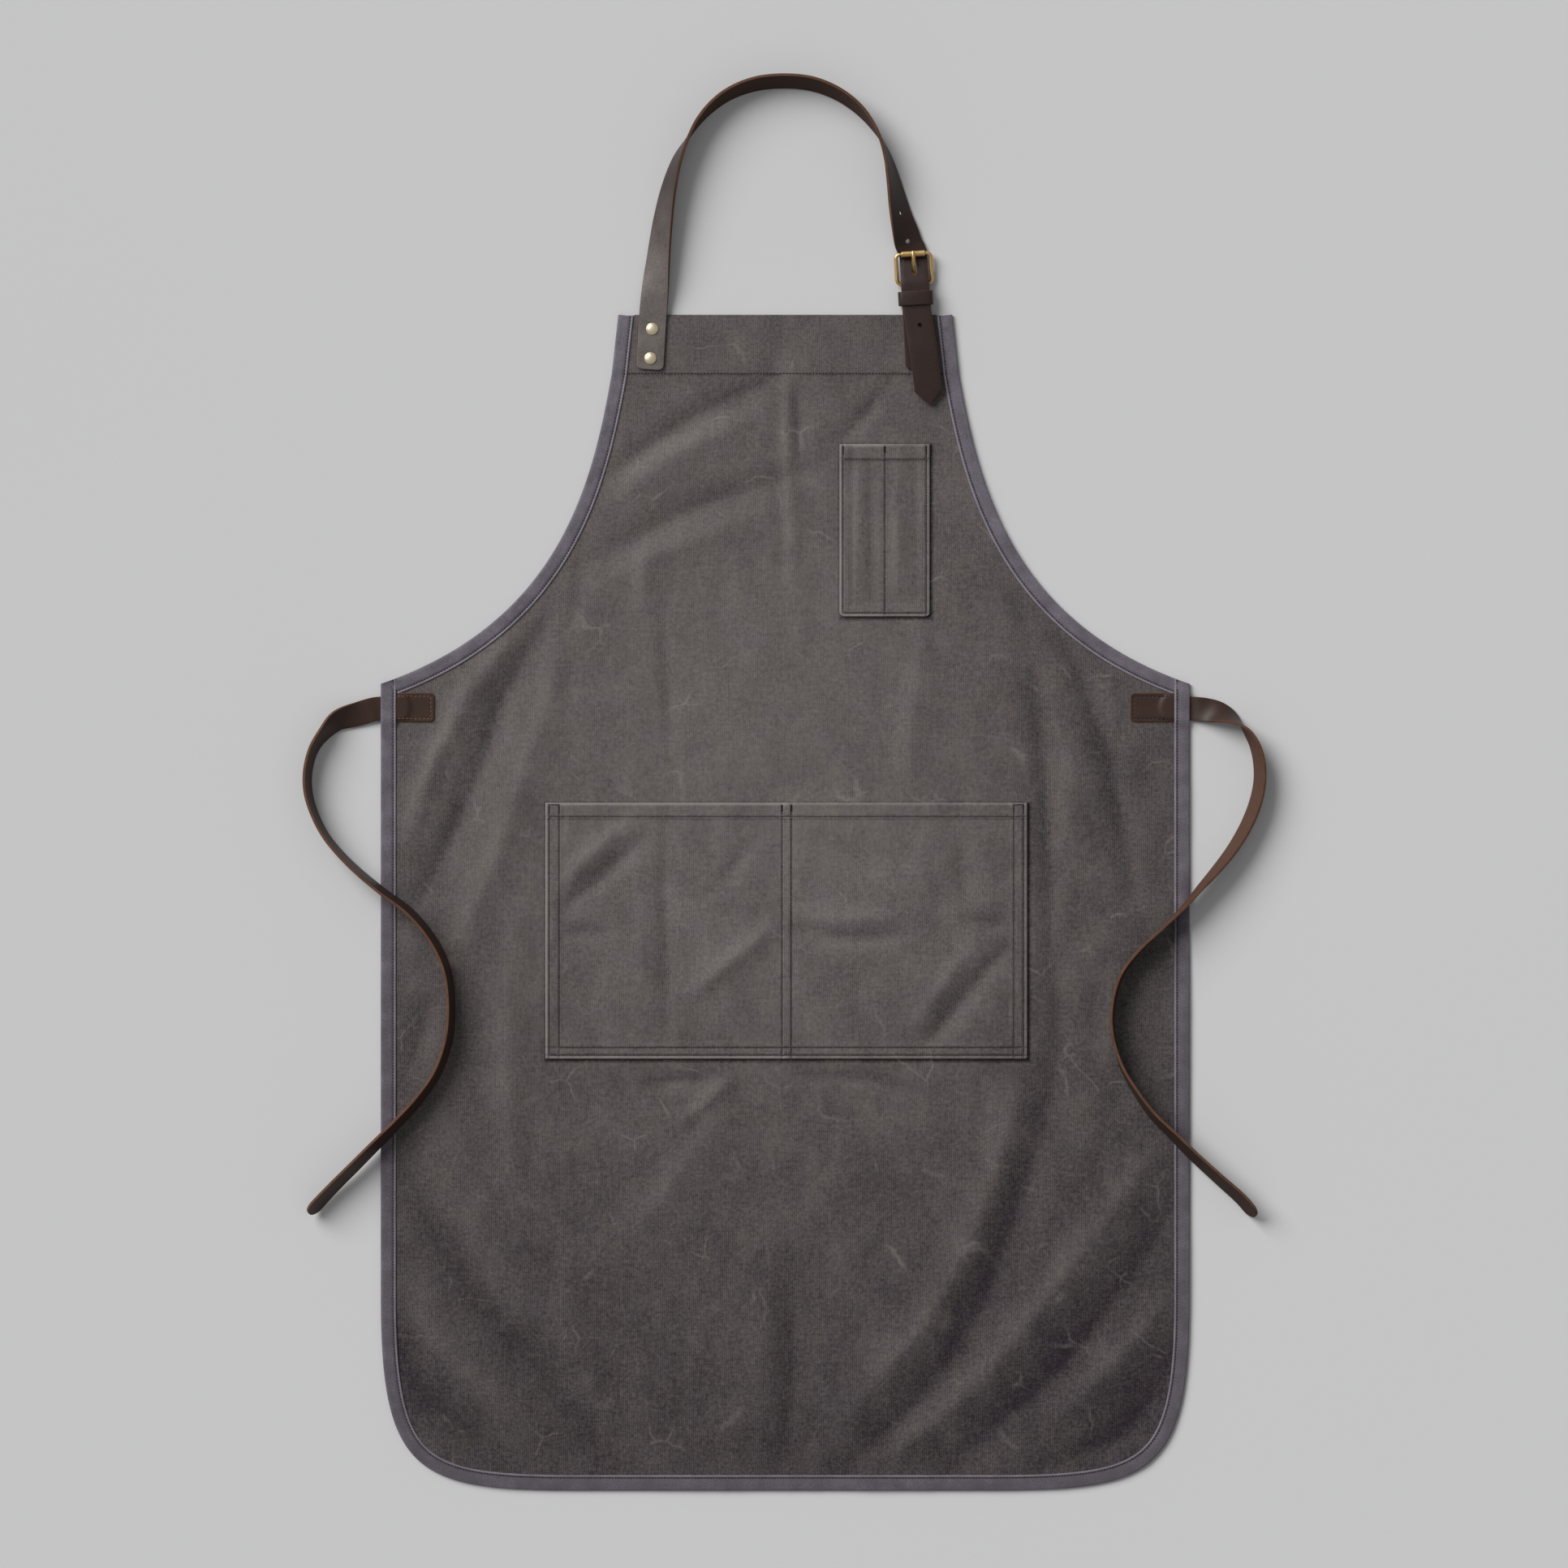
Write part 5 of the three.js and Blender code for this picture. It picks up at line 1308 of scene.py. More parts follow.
def patch_level(patch, x, y, scale):
    """Height of a pocket's face: a rounded turned-in edge, a puffed border, grooves under the
    stitches, a thicker hem along its mouth and soft folds in the middle."""
    from_side, from_bottom, from_top = patch_edges(patch, x, y)
    inner = np.minimum(from_side, from_bottom)
    turned_in = 1 - smooth(inner, patch["allowance"] - 2 * MM, patch["allowance"] + 3 * MM)
    thick = CANVAS + 0.6 * MM * turned_in
    hem = 0.65 * MM * (1 - smooth(from_top, patch["hem"] - 0.7 * MM, patch["hem"] + 0.6 * MM))
    groove = 1 - 0.85 * seam_depth(patch, x, y)
    puff = 0.34 * MM * (1 - smooth(inner, 3 * MM, 14 * MM)) + 0.10 * MM
    if len(patch["dividers"]) == 2:
        middle = sum(patch["dividers"]) / 2
        puff = puff + 0.5 * MM * (1 - smooth(np.abs(x - middle), 3 * MM, 4.6 * MM))
    body = smooth(inner, 8 * MM, 26 * MM)
    soft = fold_relief(x, y, patch["folds"]) * body * scale * 0.7
    soft = soft + ripples(x, y, 47, 24, 0.018, 0.075, 0.30 * MM) * body + 0.9 * MM * body
    wave = 0.10 * MM * np.sin(2 * np.pi * (x + y) / (8.3 * MM)) * (1 - smooth(inner, 10 * MM, 20 * MM))
    mouth = 0.5 * MM * (1 - smooth(from_top, 0, 10 * MM)) * smooth(from_side, 10 * MM, 40 * MM)
    rise = thick + hem + (puff + 0.3 * MM) * groove - 0.1 * MM + wave * groove
    roundness = np.sqrt(1 - (1 - np.clip(np.minimum(inner, from_top) / (1.1 * MM), 0, 1)) ** 2)
    lift = rise * (0.35 + 0.65 * roundness) + np.maximum(soft, -0.6 * MM) + mouth
    return canvas_level(x, y, scale) + lift


def patch_grid(patch):
    """Grid lines of a patch, fine at its edges and seams. Its lower corners are cut in a little
    by pulling the bottom rows inwards."""
    low, high = patch["low"], patch["high"]
    edges = [0, *patch["side_seams"], patch["allowance"]]
    lines_x = [low[0] + d for d in edges] + [high[0] - d for d in edges] + list(patch["dividers"])
    lines_y = [low[1] + d for d in (0, *patch["bottom_seams"], patch["allowance"])]
    lines_y += [high[1] - d for d in (0, patch["hem_seam"], patch["hem"])]
    x, y = np.meshgrid(spaced(low[0], high[0], lines_x, 0.45 * MM, 4 * MM),
                       spaced(low[1], high[1], lines_y, 0.45 * MM, 4 * MM))
    corner = patch["corner"]
    middle, half = (low[0] + high[0]) / 2, (high[0] - low[0]) / 2
    pull = corner * (1 - np.clip((y - low[1]) / corner, 0, 1)) ** 2
    return middle + (x - middle) * (1 - pull / half), y


class APRON_OT_pockets(bpy.types.Operator):
    """Makes the hand pocket and the chest pocket as sewn patches"""
    bl_idname = "apron.pockets"
    bl_label = "Pockets"

    def execute(self, context):
        scale = context.scene.apron_sizes.fold_height
        for name, patch in POCKETS.items():
            x, y = patch_grid(patch)
            face = patch_level(patch, x, y, scale)
            under = canvas_level(x, y, scale) + 0.15 * MM
            piece = shell(name + "_patch", on_apron(x, y, face), on_apron(x, y, under))
            from_side, from_bottom, from_top = patch_edges(patch, x, y)
            rim = np.minimum(np.minimum(from_side, from_bottom), from_top)
            # Painted light and shade on the pocket: painted shade in the stitch grooves, and a painted
            # highlight along the rim, stronger on the left half than on the right
            rim_highlight = 1.05 + 0.35 * np.sign(patch["low"][0] + patch["high"][0] - 2 * x)
            wear = cloth_wear_and_shade(x, y, patch["folds"]) * 0.9 - 0.40 * seam_depth(patch, x, y)
            wear = wear + rim_highlight * np.exp(-((rim - 1 * MM) / (1.3 * MM)) ** 2)
            mark(piece, wear=both_faces(wear))
            settle(piece, "root", finish_named("pocket"), "pocket_canvas", name)
            flat = (patch["high"][0] - patch["low"][0],
                    patch["high"][1] - patch["low"][1] + patch["hem"])
        return {"FINISHED"}


class APRON_OT_tabs(bpy.types.Operator):
    """Makes the leather tabs sewn over the ends of the ties"""
    bl_idname = "apron.tabs"
    bl_label = "Tie tabs"

    def execute(self, context):
        for side, flip in (("left", -1), ("right", 1)):
            inner, outer = SIDE[0] - TAB_REACH[side], SIDE[0] - 2.5 * MM
            x = spaced(inner, outer, [inner, inner + 3 * MM], 0.35 * MM, 1.6 * MM)
            reach = 12 * MM
            share = spaced(-reach, reach, [-reach, reach], 0.4 * MM, 1.6 * MM) / reach
            round_in = 1 - np.clip((x - inner) / (4 * MM), 0, 1)
            half = TAB_HALF - 4 * MM * (1 - np.sqrt(1 - round_in ** 2))
            y = half[:, None] * share
            x = np.broadcast_to(x[:, None], y.shape)
            tie_end = SIDE[0] - TIE_ANCHOR
            bulge = np.sqrt(np.maximum(TAB_HALF ** 2 - np.clip(y, -TAB_HALF, TAB_HALF) ** 2, 0))
            over_tie = smooth(x - (tie_end + TAB_HALF - bulge * 0.9), -3.2 * MM, 1.0 * MM)
            over_tie = over_tie * (1 - smooth(np.abs(y), 9.4 * MM, 11.8 * MM))
            rim = np.minimum(x - inner, half[:, None] - np.abs(y))
            groove = 0.3 * MM * np.exp(-((rim - 3 * MM) / (0.6 * MM)) ** 2)
            edge = np.sqrt(1 - (1 - np.clip(rim / (0.8 * MM), 0, 1)) ** 2)
            top = ON_CANVAS + 1.1 * MM * (0.4 + 0.6 * edge) + 1.25 * MM * over_tie - groove
            bottom = np.full_like(top, ON_CANVAS - 0.1 * MM)
            piece = shell(f"tie_tab_{side}_leather", on_apron(flip * x, TAB_Y + y, top),
                          on_apron(flip * x, TAB_Y + y, bottom))
            face = 1 - smooth(rim, 0.2 * MM, 0.9 * MM)
            mark(piece, along=both_faces(x), across=both_faces(y), face=both_faces(face))
            settle(piece, "root", finish_named("tie"), "tie_leather", f"tie_tab_{side}")
        return {"FINISHED"}


def punch(route, distance, bore):
    """A round cutter square through a strap."""
    at, forward, grain, side = (v[0] for v in route.frames(np.array([distance])))
    turn = np.linspace(0, 2 * np.pi, 28, endpoint=False)
    circle = (forward * np.cos(turn)[:, None] + side * np.sin(turn)[:, None]) * bore / 2
    rings = np.stack([at + circle - grain * 3 * MM, at + circle + grain * 3 * MM])
    return loft("cutter", on_apron(*np.moveaxis(rings, -1, 0)))


def slot_cutter(along, z):
    """An upright cutter with round ends, on the chape's line: two half circles, one turned."""
    turn = np.linspace(0, np.pi, 8)
    middle, reach = sum(along) / 2, (along[1] - along[0]) / 2 - SLOT_HALF
    end = np.column_stack([SLOT_HALF * np.cos(turn), reach + SLOT_HALF * np.sin(turn)])
    across, run = np.vstack([end, -end]).T
    return loft("cutter", np.stack([on_chape(across, middle + run, level) for level in z]))


def mark_cuts(strap, route, thick):
    """Marks the points that the cutters made, which come without marks. Each is measured from
    the strap's own path: how far along and across it lies, and its depth from grain to flesh."""
    data = strap.data
    count = len(data.vertices)
    points = np.empty(count * 3, np.float32)
    data.vertices.foreach_get("co", points)
    marks = {name: np.empty(count, np.float32) for name in ("along", "across", "face")}
    for name, values in marks.items():
        data.attributes[name].data.foreach_get("value", values)
    new = (marks["along"] == 0) & (marks["across"] == 0)
    places = points.reshape(-1, 3)[new] - [0, HEM_Y, 0]
    away = np.linalg.norm(places[:, None] - route.line[None, :, :3], axis=-1)
    along = route.far[away.argmin(axis=1)]
    middle, forward, grain, side = route.frames(along)
    ahead, above, aside = (((places - middle) * way).sum(axis=1) for way in (forward, grain, side))
    marks["along"][new] = along + ahead
    marks["across"][new] = aside
    marks["face"][new] = np.clip(1 - above / (thick / 2), 0, 2)
    for name, values in marks.items():
        data.attributes[name].data.foreach_set("value", values)


class APRON_OT_neck_strap(bpy.types.Operator):
    """Makes the neck strap, with its punched holes and pointed tail"""
    bl_idname = "apron.neck_strap"
    bl_label = "Neck strap"

    def execute(self, context):
        route = neck_route()
        steps = strap_steps(route.length, 2.0 * MM, 4 * MM, 12 * MM)
        tip, point_length = 1.6 * MM, 12 * MM
        from_tip = route.length - steps
        width = np.minimum(tip + (STRAP_WIDTH - tip) * np.minimum(1, from_tip / point_length),
                           rounded_end(STRAP_WIDTH, 4 * MM, steps))
        thick = np.full_like(width, STRAP_THICK - 0.1 * MM)
        strap = route.strap("neck_strap_leather", steps, width, thick, 0.55 * MM, 0.06 * MM)
        prong_hole = route.nearest(on_chape(0, 13 * MM, 0)[:2] - [0, HEM_Y])
        for step in (-2, -1, 1, 2):
            carve(strap, punch(route, prong_hole + step * HOLE_PITCH, HOLE_BORE))
        carve(strap, slot_cutter((6.6 * MM, 20 * MM), (-1 * MM, 20 * MM)))
        mark_cuts(strap, route, STRAP_THICK - 0.1 * MM)
        settle(strap, "root", finish_named("strap"), "strap_leather", "neck_strap")
        return {"FINISHED"}


def rivet_parts(name, place, leather_top):
    """A domed cap and a post with its back cap, as two lathed pieces."""
    turn = np.radians(np.linspace(90, 0, 12))
    dome = np.column_stack([4.45 * MM * np.cos(turn), 0.55 * MM + 1.45 * MM * np.sin(turn)])
    rim = np.array([(4.55, 0.42), (4.75, 0.50), (4.95, 0.42), (5.0, 0.2), (4.9, 0.02), (1.9, 0.0),
                    (1.9, 1.2), (0.05, 1.2)]) * MM
    profile = np.vstack([[0.02 * MM, 2.0 * MM], dome[1:], rim])
    x, y, z = lathe(profile, 40)
    cap = loft(f"{name}_cap_brass", place(x, y, leather_top + GAP + z), closed=True)
    post_profile = np.array([
        (0.05, -0.08), (3.6, -0.08), (3.95, 0.1), (4.0, 0.45), (3.9, 0.72), (1.7, 0.75), (1.6, 0.85),
        (1.6, 0), (0.05, 0)]) * MM
    post_profile[-2:, 1] = leather_top + 1.2 * MM
    x, y, z = lathe(post_profile, 32)
    post = loft(f"{name}_post_brass", place(x, y, z), closed=True)
    return cap, post


class APRON_OT_rivets(bpy.types.Operator):
    """Makes the four double-cap rivets"""
    bl_idname = "apron.rivets"
    bl_label = "Rivets"

    def execute(self, context):
        route = neck_route()
        rows = []
        for order, distance in zip(("first", "second"), STRAP_RIVETS):
            middle = route.middle(np.array([distance]))[0]
            rows.append((f"strap_rivet_{order}", middle[:2], ON_CANVAS + STRAP_THICK))
        for order, below in zip(("first", "second"), CHAPE_RIVETS):
            middle = on_chape(0, -below, 0) - [0, HEM_Y, 0]
            rows.append((f"chape_rivet_{order}", middle[:2], CHAPE_TOP))
        for name, middle, level in rows:
            def place(x, y, z, middle=middle):
                return on_apron(middle[0] + x, middle[1] + y, z)

            cap, post = rivet_parts(name, place, level)
            # The chape's rivet caps take the darkened brass, a painted shade
            finish = "rivet" if name.startswith("strap") else "shaded_rivet"
            settle(cap, "root", finish_named(finish), "rivet_brass", f"{name}_cap")
            settle(post, "root", finish_named("buckle"), "buckle_brass", f"{name}_post")
        return {"FINISHED"}


def rounded_box_line(half_x, low_y, high_y, radius, steps=10):
    """A closed line round a rectangle with round corners, anticlockwise."""
    line = []
    for corner, (x, y) in enumerate([(1, 1), (-1, 1), (-1, -1), (1, -1)]):
        turn = np.radians(90 * corner + np.linspace(0, 90, steps))
        centre_y = high_y - radius if y > 0 else low_y + radius
        line.append(np.column_stack([x * (half_x - radius) + radius * np.cos(turn),
                                     centre_y + radius * np.sin(turn)]))
    return np.vstack(line)


def buckle_frame():
    """Wire bent into a round-cornered rectangle: a circle carried round it, a little flattened
    on the sides and thinned at the heel."""
    line, out = round_evenly(rounded_box_line(FRAME_HALF, 0, BUCKLE_PITCH, FRAME_CORNER), 1.0 * MM)
    turn = np.linspace(0, 2 * np.pi, 24, endpoint=False)
    swell = 1 + 0.10 * smooth(np.abs(line[:, 0]), 12 * MM, 14.8 * MM)
    radius = BAR / 2 * 0.97 * swell[:, None]
    flat = line[:, None] + out[:, None] * (radius * np.cos(turn))[..., None]
    return on_buckle(flat[..., 0], flat[..., 1], radius * np.sin(turn) * 0.97)


def roller_rings():
    """The roller, turned about the front bar, with shallow grooves from its drawing."""
    half = ROLLER_HALF
    x = np.linspace(-half + 0.5 * MM, half - 0.5 * MM, 60)
    radius = ROLLER / 2 - 0.07 * MM * (1 + np.cos(2 * np.pi * x / (1.45 * MM))) / 2
    outer = np.column_stack([x, radius])
    bore = 1.95 * MM
    ends = np.array([(half - 0.15 * MM, ROLLER / 2 - 0.15 * MM), (half, ROLLER / 2 - 0.5 * MM),
                     (half, bore)])
    profile = np.vstack([outer, ends, (ends * [-1, 1])[::-1]])
    turn = np.linspace(0, 2 * np.pi, 40, endpoint=False)[:, None]
    along = BUCKLE_PITCH + profile[:, 1] * np.cos(turn)
    return on_buckle(profile[:, 0] + 0 * turn, along, profile[:, 1] * np.sin(turn))


def prong_blade():
    """The prong's blade: an oval carried from the eye on the heel bar, down under the strap, up
    through its hole and over the roller."""
    crest = FRONT_BAR_Z - HEEL_Z + ROLLER / 2 + GAP + 1.1 * MM
    line = through(np.array([
        (0, 2.4 * MM, -0.2 * MM), (0, 8.2 * MM, -0.5 * MM), (0, 12.6 * MM, 1.7 * MM),
        (0, 16.8 * MM, crest - 1.8 * MM), (0, 21 * MM, crest - 0.1 * MM),
        (0, BUCKLE_PITCH, crest), (0, BUCKLE_PITCH + 2.2 * MM, crest - 0.3 * MM)]), 10)
    line = evenly(line, 0.45 * MM)
    ahead = headings(line)
    up = np.cross([1, 0, 0], ahead)
    far = travel(line)
    from_tip = far[-1] - far
    taper = (1 - 0.12 * smooth(far, 0, far[-1])) * np.sqrt(
        1 - (1 - np.clip((from_tip + 0.1 * MM) / (1.2 * MM), 0, 1)) ** 2)
    turn = np.linspace(0, 2 * np.pi, 20, endpoint=False)
    across = 1.65 * MM * taper[:, None] * np.cos(turn)
    over = 1.05 * MM * taper[:, None] * np.sin(turn)
    run = line[:, 1:2] + up[:, 1:2] * over
    rise = line[:, 2:3] + up[:, 2:3] * over
    return on_chape(across, run, HEEL_Z + rise)


def prong_eye():
    """The prong's eye round the heel bar: a rounded band turned about the bar."""
    section = rounded_box_line(1.6 * MM, 1.92 * MM, 3.15 * MM, 0.4 * MM, 5)
    turn = np.linspace(0, 2 * np.pi, 36, endpoint=False)[:, None]
    return on_chape(section[:, 0] + 0 * turn, section[:, 1] * np.cos(turn),
                    HEEL_Z + section[:, 1] * np.sin(turn))


def keeper_rings():
    """A band of leather round the strap and chape: a rounded section carried round a closed
    round-cornered path."""
    half, low, high = 14.05 * MM, 1.25 * MM, 12.1 * MM
    path, out = round_evenly(rounded_box_line(half, low, high, 2.6 * MM, 9), 0.9 * MM)
    crown = 1.2 * MM * (1 - (path[:, 0] / half) ** 2) * (path[:, 1] > 7 * MM)
    section = rounded_box_line(KEEPER_WIDTH / 2, -0.78 * MM, 0.78 * MM, 0.5 * MM, 5)
    reach = section[:, 1][None, :]
    across = path[:, :1] + out[:, :1] * reach
    z = path[:, 1:2] + out[:, 1:2] * reach + crown[:, None]
    rings = on_chape(across, KEEPER_ALONG + section[:, 0][None, :] + 0 * across, z)
    face = 1 - smooth(reach, -0.55 * MM, 0.55 * MM)
    on_rim = np.abs(section[:, 0])[None, :] > KEEPER_WIDTH / 2 - 0.25 * MM
    face = np.where(on_rim, 1.0, 2 * face)
    along = np.broadcast_to(travel(path)[:, None], across.shape)
    return rings, along, np.broadcast_to(section[:, 0], across.shape), np.broadcast_to(
        face, across.shape)


def chape_leather():
    """The chape: a strip that lies on the canvas, turns back round the heel bar and lies on
    itself. The strap section is carried along that hairpin."""
    lower, upper = ON_CANVAS + CHAPE_THICK / 2, CHAPE_TOP - CHAPE_THICK / 2
    radius = 1.9 * MM + CHAPE_THICK / 2
    turn = np.radians(np.linspace(-118, 118, 40))
    loop = np.column_stack([radius * np.cos(turn), HEEL_Z + radius * np.sin(turn)])
    ends = 1.9 * radius
    start = np.array([(-CHAPE_LENGTH, lower), (-CHAPE_LENGTH / 2, lower), (-2 * ends, lower),
                      (-ends * 1.15, lower)])
    finish = start[::-1] * [1, 0] + [0, upper]
    line = np.vstack([start, loop, finish])
    line = through(np.column_stack([line, 0 * line[:, 0]]), 6)[:, :2]
    total = travel(line)[-1]
    steps = strap_steps(total, 1.3 * MM, 4 * MM, 4 * MM)
    path = at_distances(line, steps)
    out = right_of(headings(path))
    width = rounded_end(STRAP_WIDTH, 3.5 * MM, np.minimum(steps, total - steps))
    across, over, face = strap_section(width, np.full_like(width, CHAPE_THICK), 0.5 * MM)
    along = path[:, :1] + out[:, :1] * over
    z = path[:, 1:2] + out[:, 1:2] * over
    piece = loft("chape_leather", on_chape(across, along, z))
    mark(piece, along=np.broadcast_to(steps[:, None], across.shape), across=across, face=face)
    return carve(piece, slot_cutter((-6 * MM, 8 * MM), (-1 * MM, 9 * MM)))


class APRON_OT_buckle(bpy.types.Operator):
    """Makes the roller buckle, the chape that holds it and the strap keeper"""
    bl_idname = "apron.buckle"
    bl_label = "Buckle, chape and keeper"

    def execute(self, context):
        brass, leather = finish_named("buckle"), finish_named("chape")
        settle(loft("buckle_frame_brass", buckle_frame(), closed=True),
               "frame", brass, "buckle_brass", "buckle_frame")
        settle(loft("buckle_roller_brass", roller_rings(), closed=True),
               "roller", brass, "buckle_brass", "buckle_roller")
        prong = join_pieces("buckle_prong_brass", [
            loft("blade", prong_blade()), loft("eye", prong_eye(), closed=True)])
        settle(prong, "prong", brass, "buckle_brass", "buckle_prong")
        settle(chape_leather(), "root", leather, "strap_leather", "buckle_chape")
        rings, along, across, face = keeper_rings()
        keeper = mark(loft("keeper_leather", rings, closed=True),
                      along=along, across=across, face=face)
        settle(keeper, "keeper", leather, "strap_leather", "strap_keeper")
        return {"FINISHED"}


# ---------------------------------------------------------------- sewing

def stitches(name, places, ahead, up, length_of, thick, finish):
    """A short thread for each place: six-sided rings along a line that dips into the cloth at
    both ends and swells in the middle."""
    aside = np.cross(up, ahead)
    run = np.array([-0.5, -0.36, 0.0, 0.36, 0.5]) * length_of
    rise = np.array([-0.75, -0.12, 0.12, -0.12, -0.75]) * thick
    swell = np.array([0.30, 0.48, 0.52, 0.48, 0.30]) * thick
    turn = np.linspace(0, 2 * np.pi, 6, endpoint=False)
    over = rise[:, None] + swell[:, None] * np.sin(turn)
    wide = swell[:, None] * np.cos(turn)
    points = (places[:, None, None] + ahead[:, None, None] * run[None, :, None, None]
              + up[:, None, None] * over[None, :, :, None]
              + aside[:, None, None] * wide[None, :, :, None])
    count = len(places)
    skin = grid_faces(len(run), 6, round_columns=True)
    ring = np.arange(6)[None, :]
    per = len(run) * 6
    shift = (np.arange(count) * per)[:, None, None]
    groups = [(group[None] + shift).reshape(-1, group.shape[1])
              for group in (skin, ring[:, ::-1], ring + per - 6)]
    piece = new_piece(name, points, *groups)
    settle(piece, "root", finish_named(finish), "pocket_canvas")
    return piece


def seam(line, pitch, level):
    """Stitch places along a line on the cloth, with their directions, at the cloth's level."""
    total = travel(line)[-1]
    count = max(1, round(total / pitch))
    flat = at_distances(line, (np.arange(count) + 0.5) * total / count)
    nudge = 0.4 * MM
    ahead = headings(flat if count > 1 else line)[:count]
    z = level(flat[:, 0], flat[:, 1])
    slope = level(flat[:, 0] + ahead[:, 0] * nudge, flat[:, 1] + ahead[:, 1] * nudge) - z
    forward = unit(np.column_stack([ahead, slope / nudge]))
    aside = np.column_stack([-ahead[:, 1], ahead[:, 0], 0 * z])
    return on_apron(flat[:, 0], flat[:, 1], z), forward, np.cross(forward, aside)


def sew(name, seams, pitch, thick, finish="thread"):
    """One piece from several seams, whose stitches leave a quarter of their pitch free."""
    places, ahead, up = (np.vstack(parts) for parts in zip(*seams))
    return stitches(name, places, ahead, up, pitch * 0.74, thick, finish)


def straight(x0, y0, x1, y1):
    """A line from one place to another."""
    return np.array([(x0, y0), (x1, y1)], float)


def pocket_seams(patch):
    """The lines of stitches on a patch: round its sides and bottom, along its hem and down
    its dividers."""
    low, high = patch["low"], patch["high"]
    lines = []
    for side, bottom in zip(patch["side_seams"], patch["bottom_seams"]):
        cut = patch["corner"] * 0.5
        lines.append(np.array([
            (low[0] + side, high[1] - 1 * MM), (low[0] + side, low[1] + bottom + cut),
            (low[0] + side + cut, low[1] + bottom), (high[0] - side - cut, low[1] + bottom),
            (high[0] - side, low[1] + bottom + cut), (high[0] - side, high[1] - 1 * MM)]))
    hem_y = high[1] - patch["hem_seam"]
    lines.append(straight(low[0] + 4 * MM, hem_y, high[0] - 4 * MM, hem_y))
    for x in patch["dividers"]:
        lines.append(straight(x, high[1] - 1.5 * MM, x, low[1] + 2 * MM))
    return lines


def bartacks(patch):
    """Short bars of close stitches at the pocket mouth's corners and over its dividers."""
    low, high = patch["low"], patch["high"]
    sides = patch["side_seams"]
    bars = []
    top = high[1] - 1.8 * MM
    reach = sides[-1] if len(sides) > 1 else 3.4 * MM
    for x0, x1 in ((low[0] + sides[0], low[0] + reach), (high[0] - reach, high[0] - sides[0])):
        bars.append(straight(x0, top, max(x1, x0 + 0.1 * MM), top))
        bars.append(straight(x0, top, x0, top - 7 * MM))
        bars.append(straight(x1, top, x1, top - 7 * MM))
    for x in patch["dividers"]:
        bars.append(straight(x - 0.5 * MM, top, x - 0.5 * MM, top - 6 * MM))
        bars.append(straight(x + 0.5 * MM, top, x + 0.5 * MM, top - 6 * MM))
    return bars


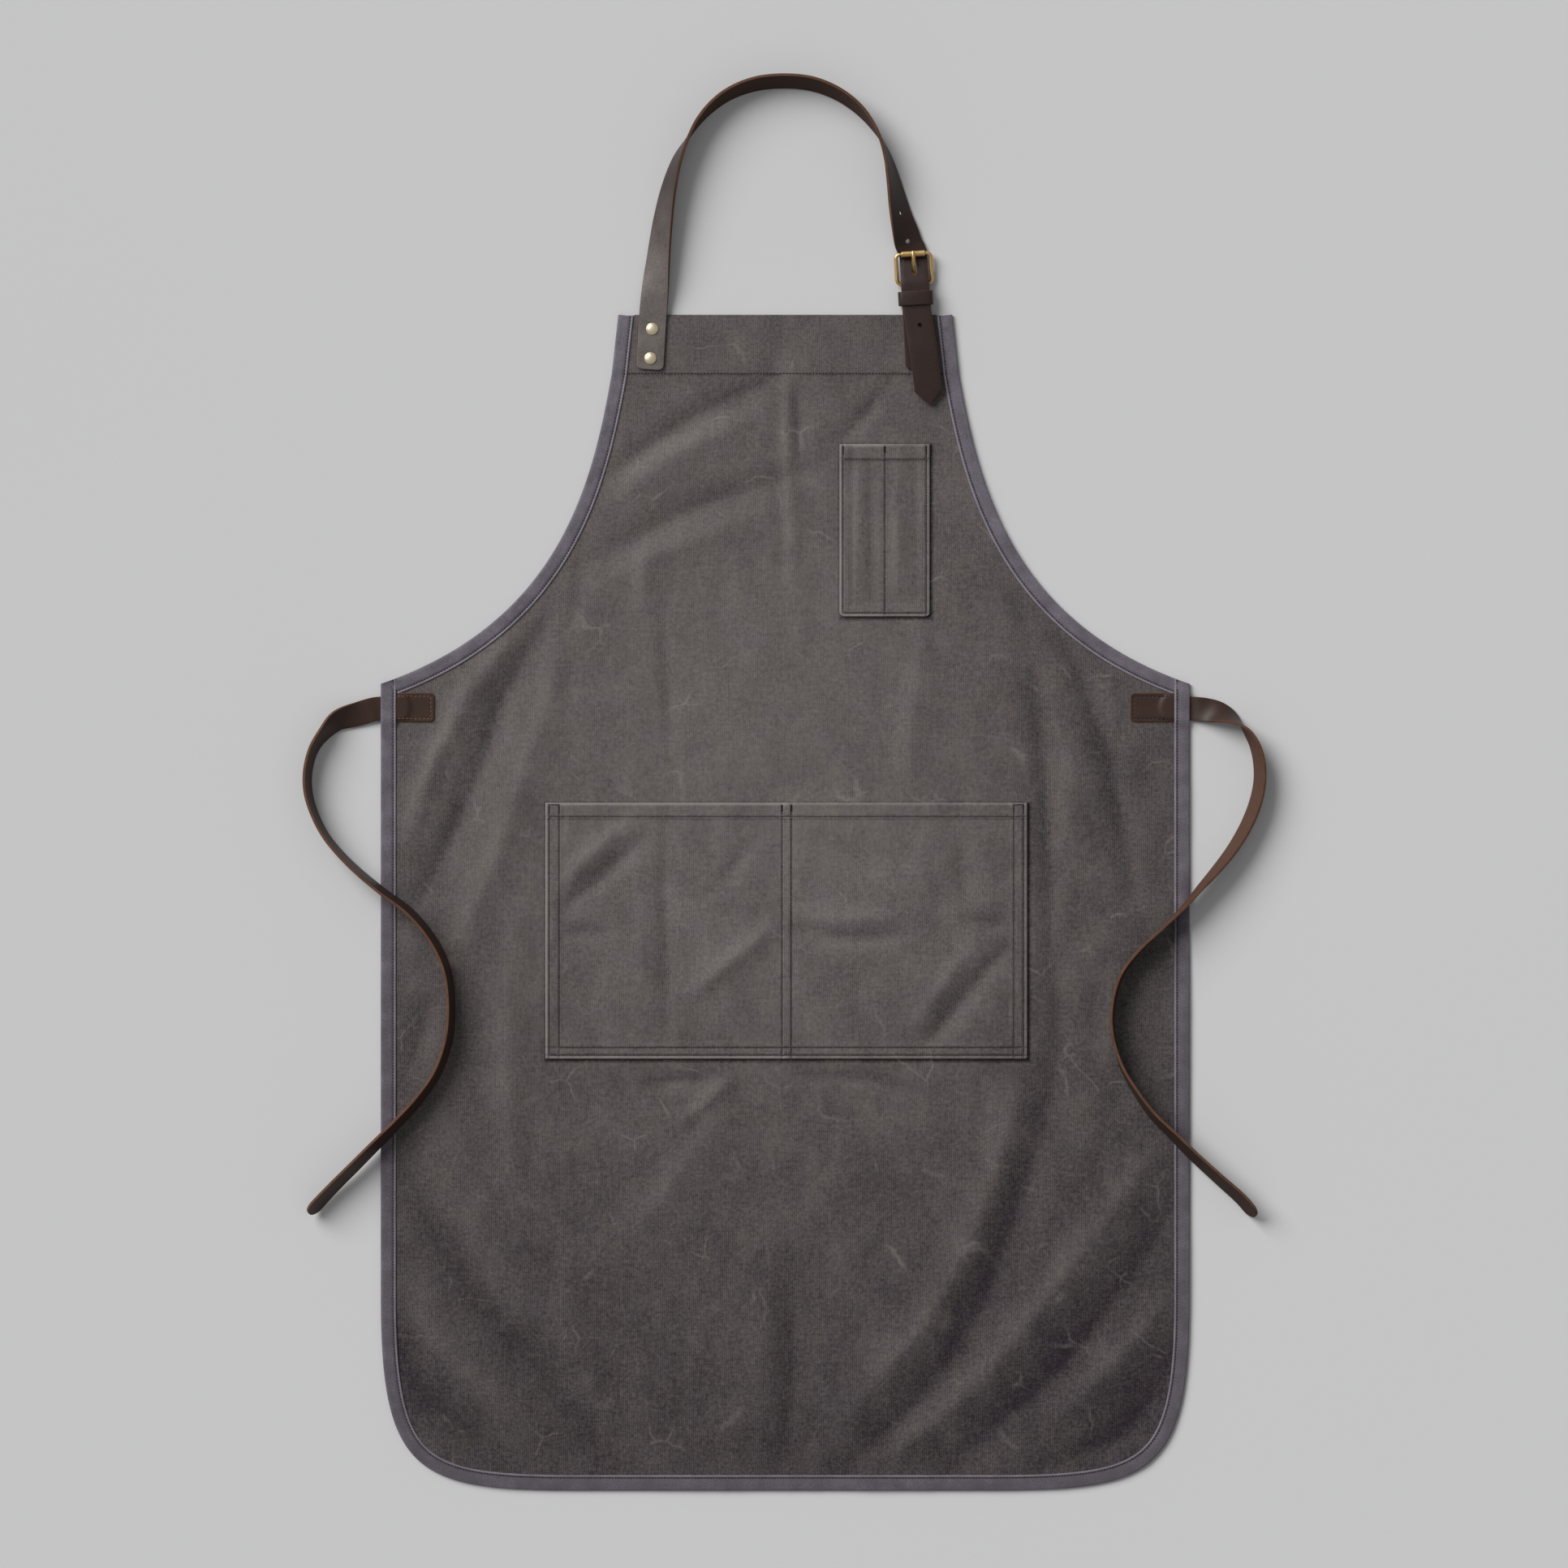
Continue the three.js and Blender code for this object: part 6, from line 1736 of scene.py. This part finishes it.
class APRON_OT_stitching(bpy.types.Operator):
    """Sews the bindings, the bib's hem, the pockets and the tabs"""
    bl_idname = "apron.stitching"
    bl_label = "Stitching"

    def execute(self, context):
        sizes = context.scene.apron_sizes
        scale = sizes.fold_height
        thread = sizes.thread

        for place, edge, lift, sides in (
                ("skirt", skirt_edge, over_tab, [1]), ("armhole", armhole_edge, no_lift, [1, -1]),
                ("bib", bib_edge, no_lift, [1, -1])):
            line, inward = edge()

            def level(x, y, lift=lift):
                rise = np.maximum(canvas_level(x, y, scale) - CANVAS_TOP, 0)
                return TAPE_GROOVE_TOP + rise + lift(x, y)

            sew(f"{place}_stitches",
                [seam((line + inward * TAPE_GROOVE) * [side, 1], sizes.edge_stitch, level)
                 for side in sides], sizes.edge_stitch, thread)

        hem_half = BIB_BASE[0] - TAPE_WIDTH
        hem = straight(-hem_half, BIB_SEAM_Y, hem_half, BIB_SEAM_Y)
        sew("hem_stitches", [seam(hem, sizes.hem_stitch,
                                  lambda x, y: canvas_level(x, y, scale) + THREAD_LIFT)],
            sizes.hem_stitch, thread * 1.05)

        for name, patch in POCKETS.items():
            def level(x, y, patch=patch):
                return patch_level(patch, x, y, scale) + THREAD_LIFT

            sew(f"{name}_stitches", [seam(line, sizes.pocket_stitch, level)
                                     for line in pocket_seams(patch)], sizes.pocket_stitch, thread)
            sew(f"{name}_bartacks", [seam(line, 0.9 * MM, level) for line in bartacks(patch)],
                1.1 * MM, thread * 1.15)

        def tab_top(x, _):
            tie_end = SIDE[0] - TIE_ANCHOR
            over = smooth(np.abs(x), tie_end - 3 * MM, tie_end + 1.5 * MM)
            return ON_CANVAS + 1.0 * MM + over * 0.95 * MM

        for side, flip in (("left", -1), ("right", 1)):
            inner = SIDE[0] - TAB_REACH[side]
            half = np.array([(SIDE[0] - 14 * MM, 9.5 * MM), (inner + 4 * MM, 9.5 * MM),
                             (inner + 3 * MM, 8.5 * MM)])
            line = np.vstack([half, half[::-1] * [1, -1]]) + [0, TAB_Y]
            sew(f"tie_tab_{side}_stitches", [seam(line * [flip, 1], sizes.tab_stitch, tab_top)],
                sizes.tab_stitch, thread * 1.1, "light_thread" if side == "left" else "thread")
        return {"FINISHED"}


# ---------------------------------------------------------------- panel and run

OPERATORS = [
    APRON_OT_stage, APRON_OT_waist_ties, APRON_OT_canvas, APRON_OT_bindings, APRON_OT_pockets,
    APRON_OT_tabs, APRON_OT_neck_strap, APRON_OT_rivets, APRON_OT_buckle, APRON_OT_stitching,
]


class APRON_PT_panel(bpy.types.Panel):
    """Lists the steps that build the apron"""
    bl_label = "Butcher Apron"
    bl_idname = "APRON_PT_panel"
    bl_space_type = "VIEW_3D"
    bl_region_type = "UI"
    bl_category = "Apron"

    def draw(self, context):
        for group in (context.scene.apron_sizes, context.scene.apron_colours):
            box = self.layout.box()
            for name in group.__annotations__:
                box.prop(group, name)
        for operator in OPERATORS:
            self.layout.operator(operator.bl_idname)


CLASSES = [ApronSizes, ApronColours, *OPERATORS, APRON_PT_panel]


def register():
    for item in CLASSES:
        bpy.utils.register_class(item)
    bpy.types.Scene.apron_sizes = PointerProperty(type=ApronSizes)
    bpy.types.Scene.apron_colours = PointerProperty(type=ApronColours)


def unregister():
    del bpy.types.Scene.apron_colours
    del bpy.types.Scene.apron_sizes
    for item in reversed(CLASSES):
        bpy.utils.unregister_class(item)


def main():
    """Builds the apron in order."""
    register()
    for operator in OPERATORS:
        group, name = operator.bl_idname.split(".")
        getattr(getattr(bpy.ops, group), name)()


if __name__ == "__main__":
    main()
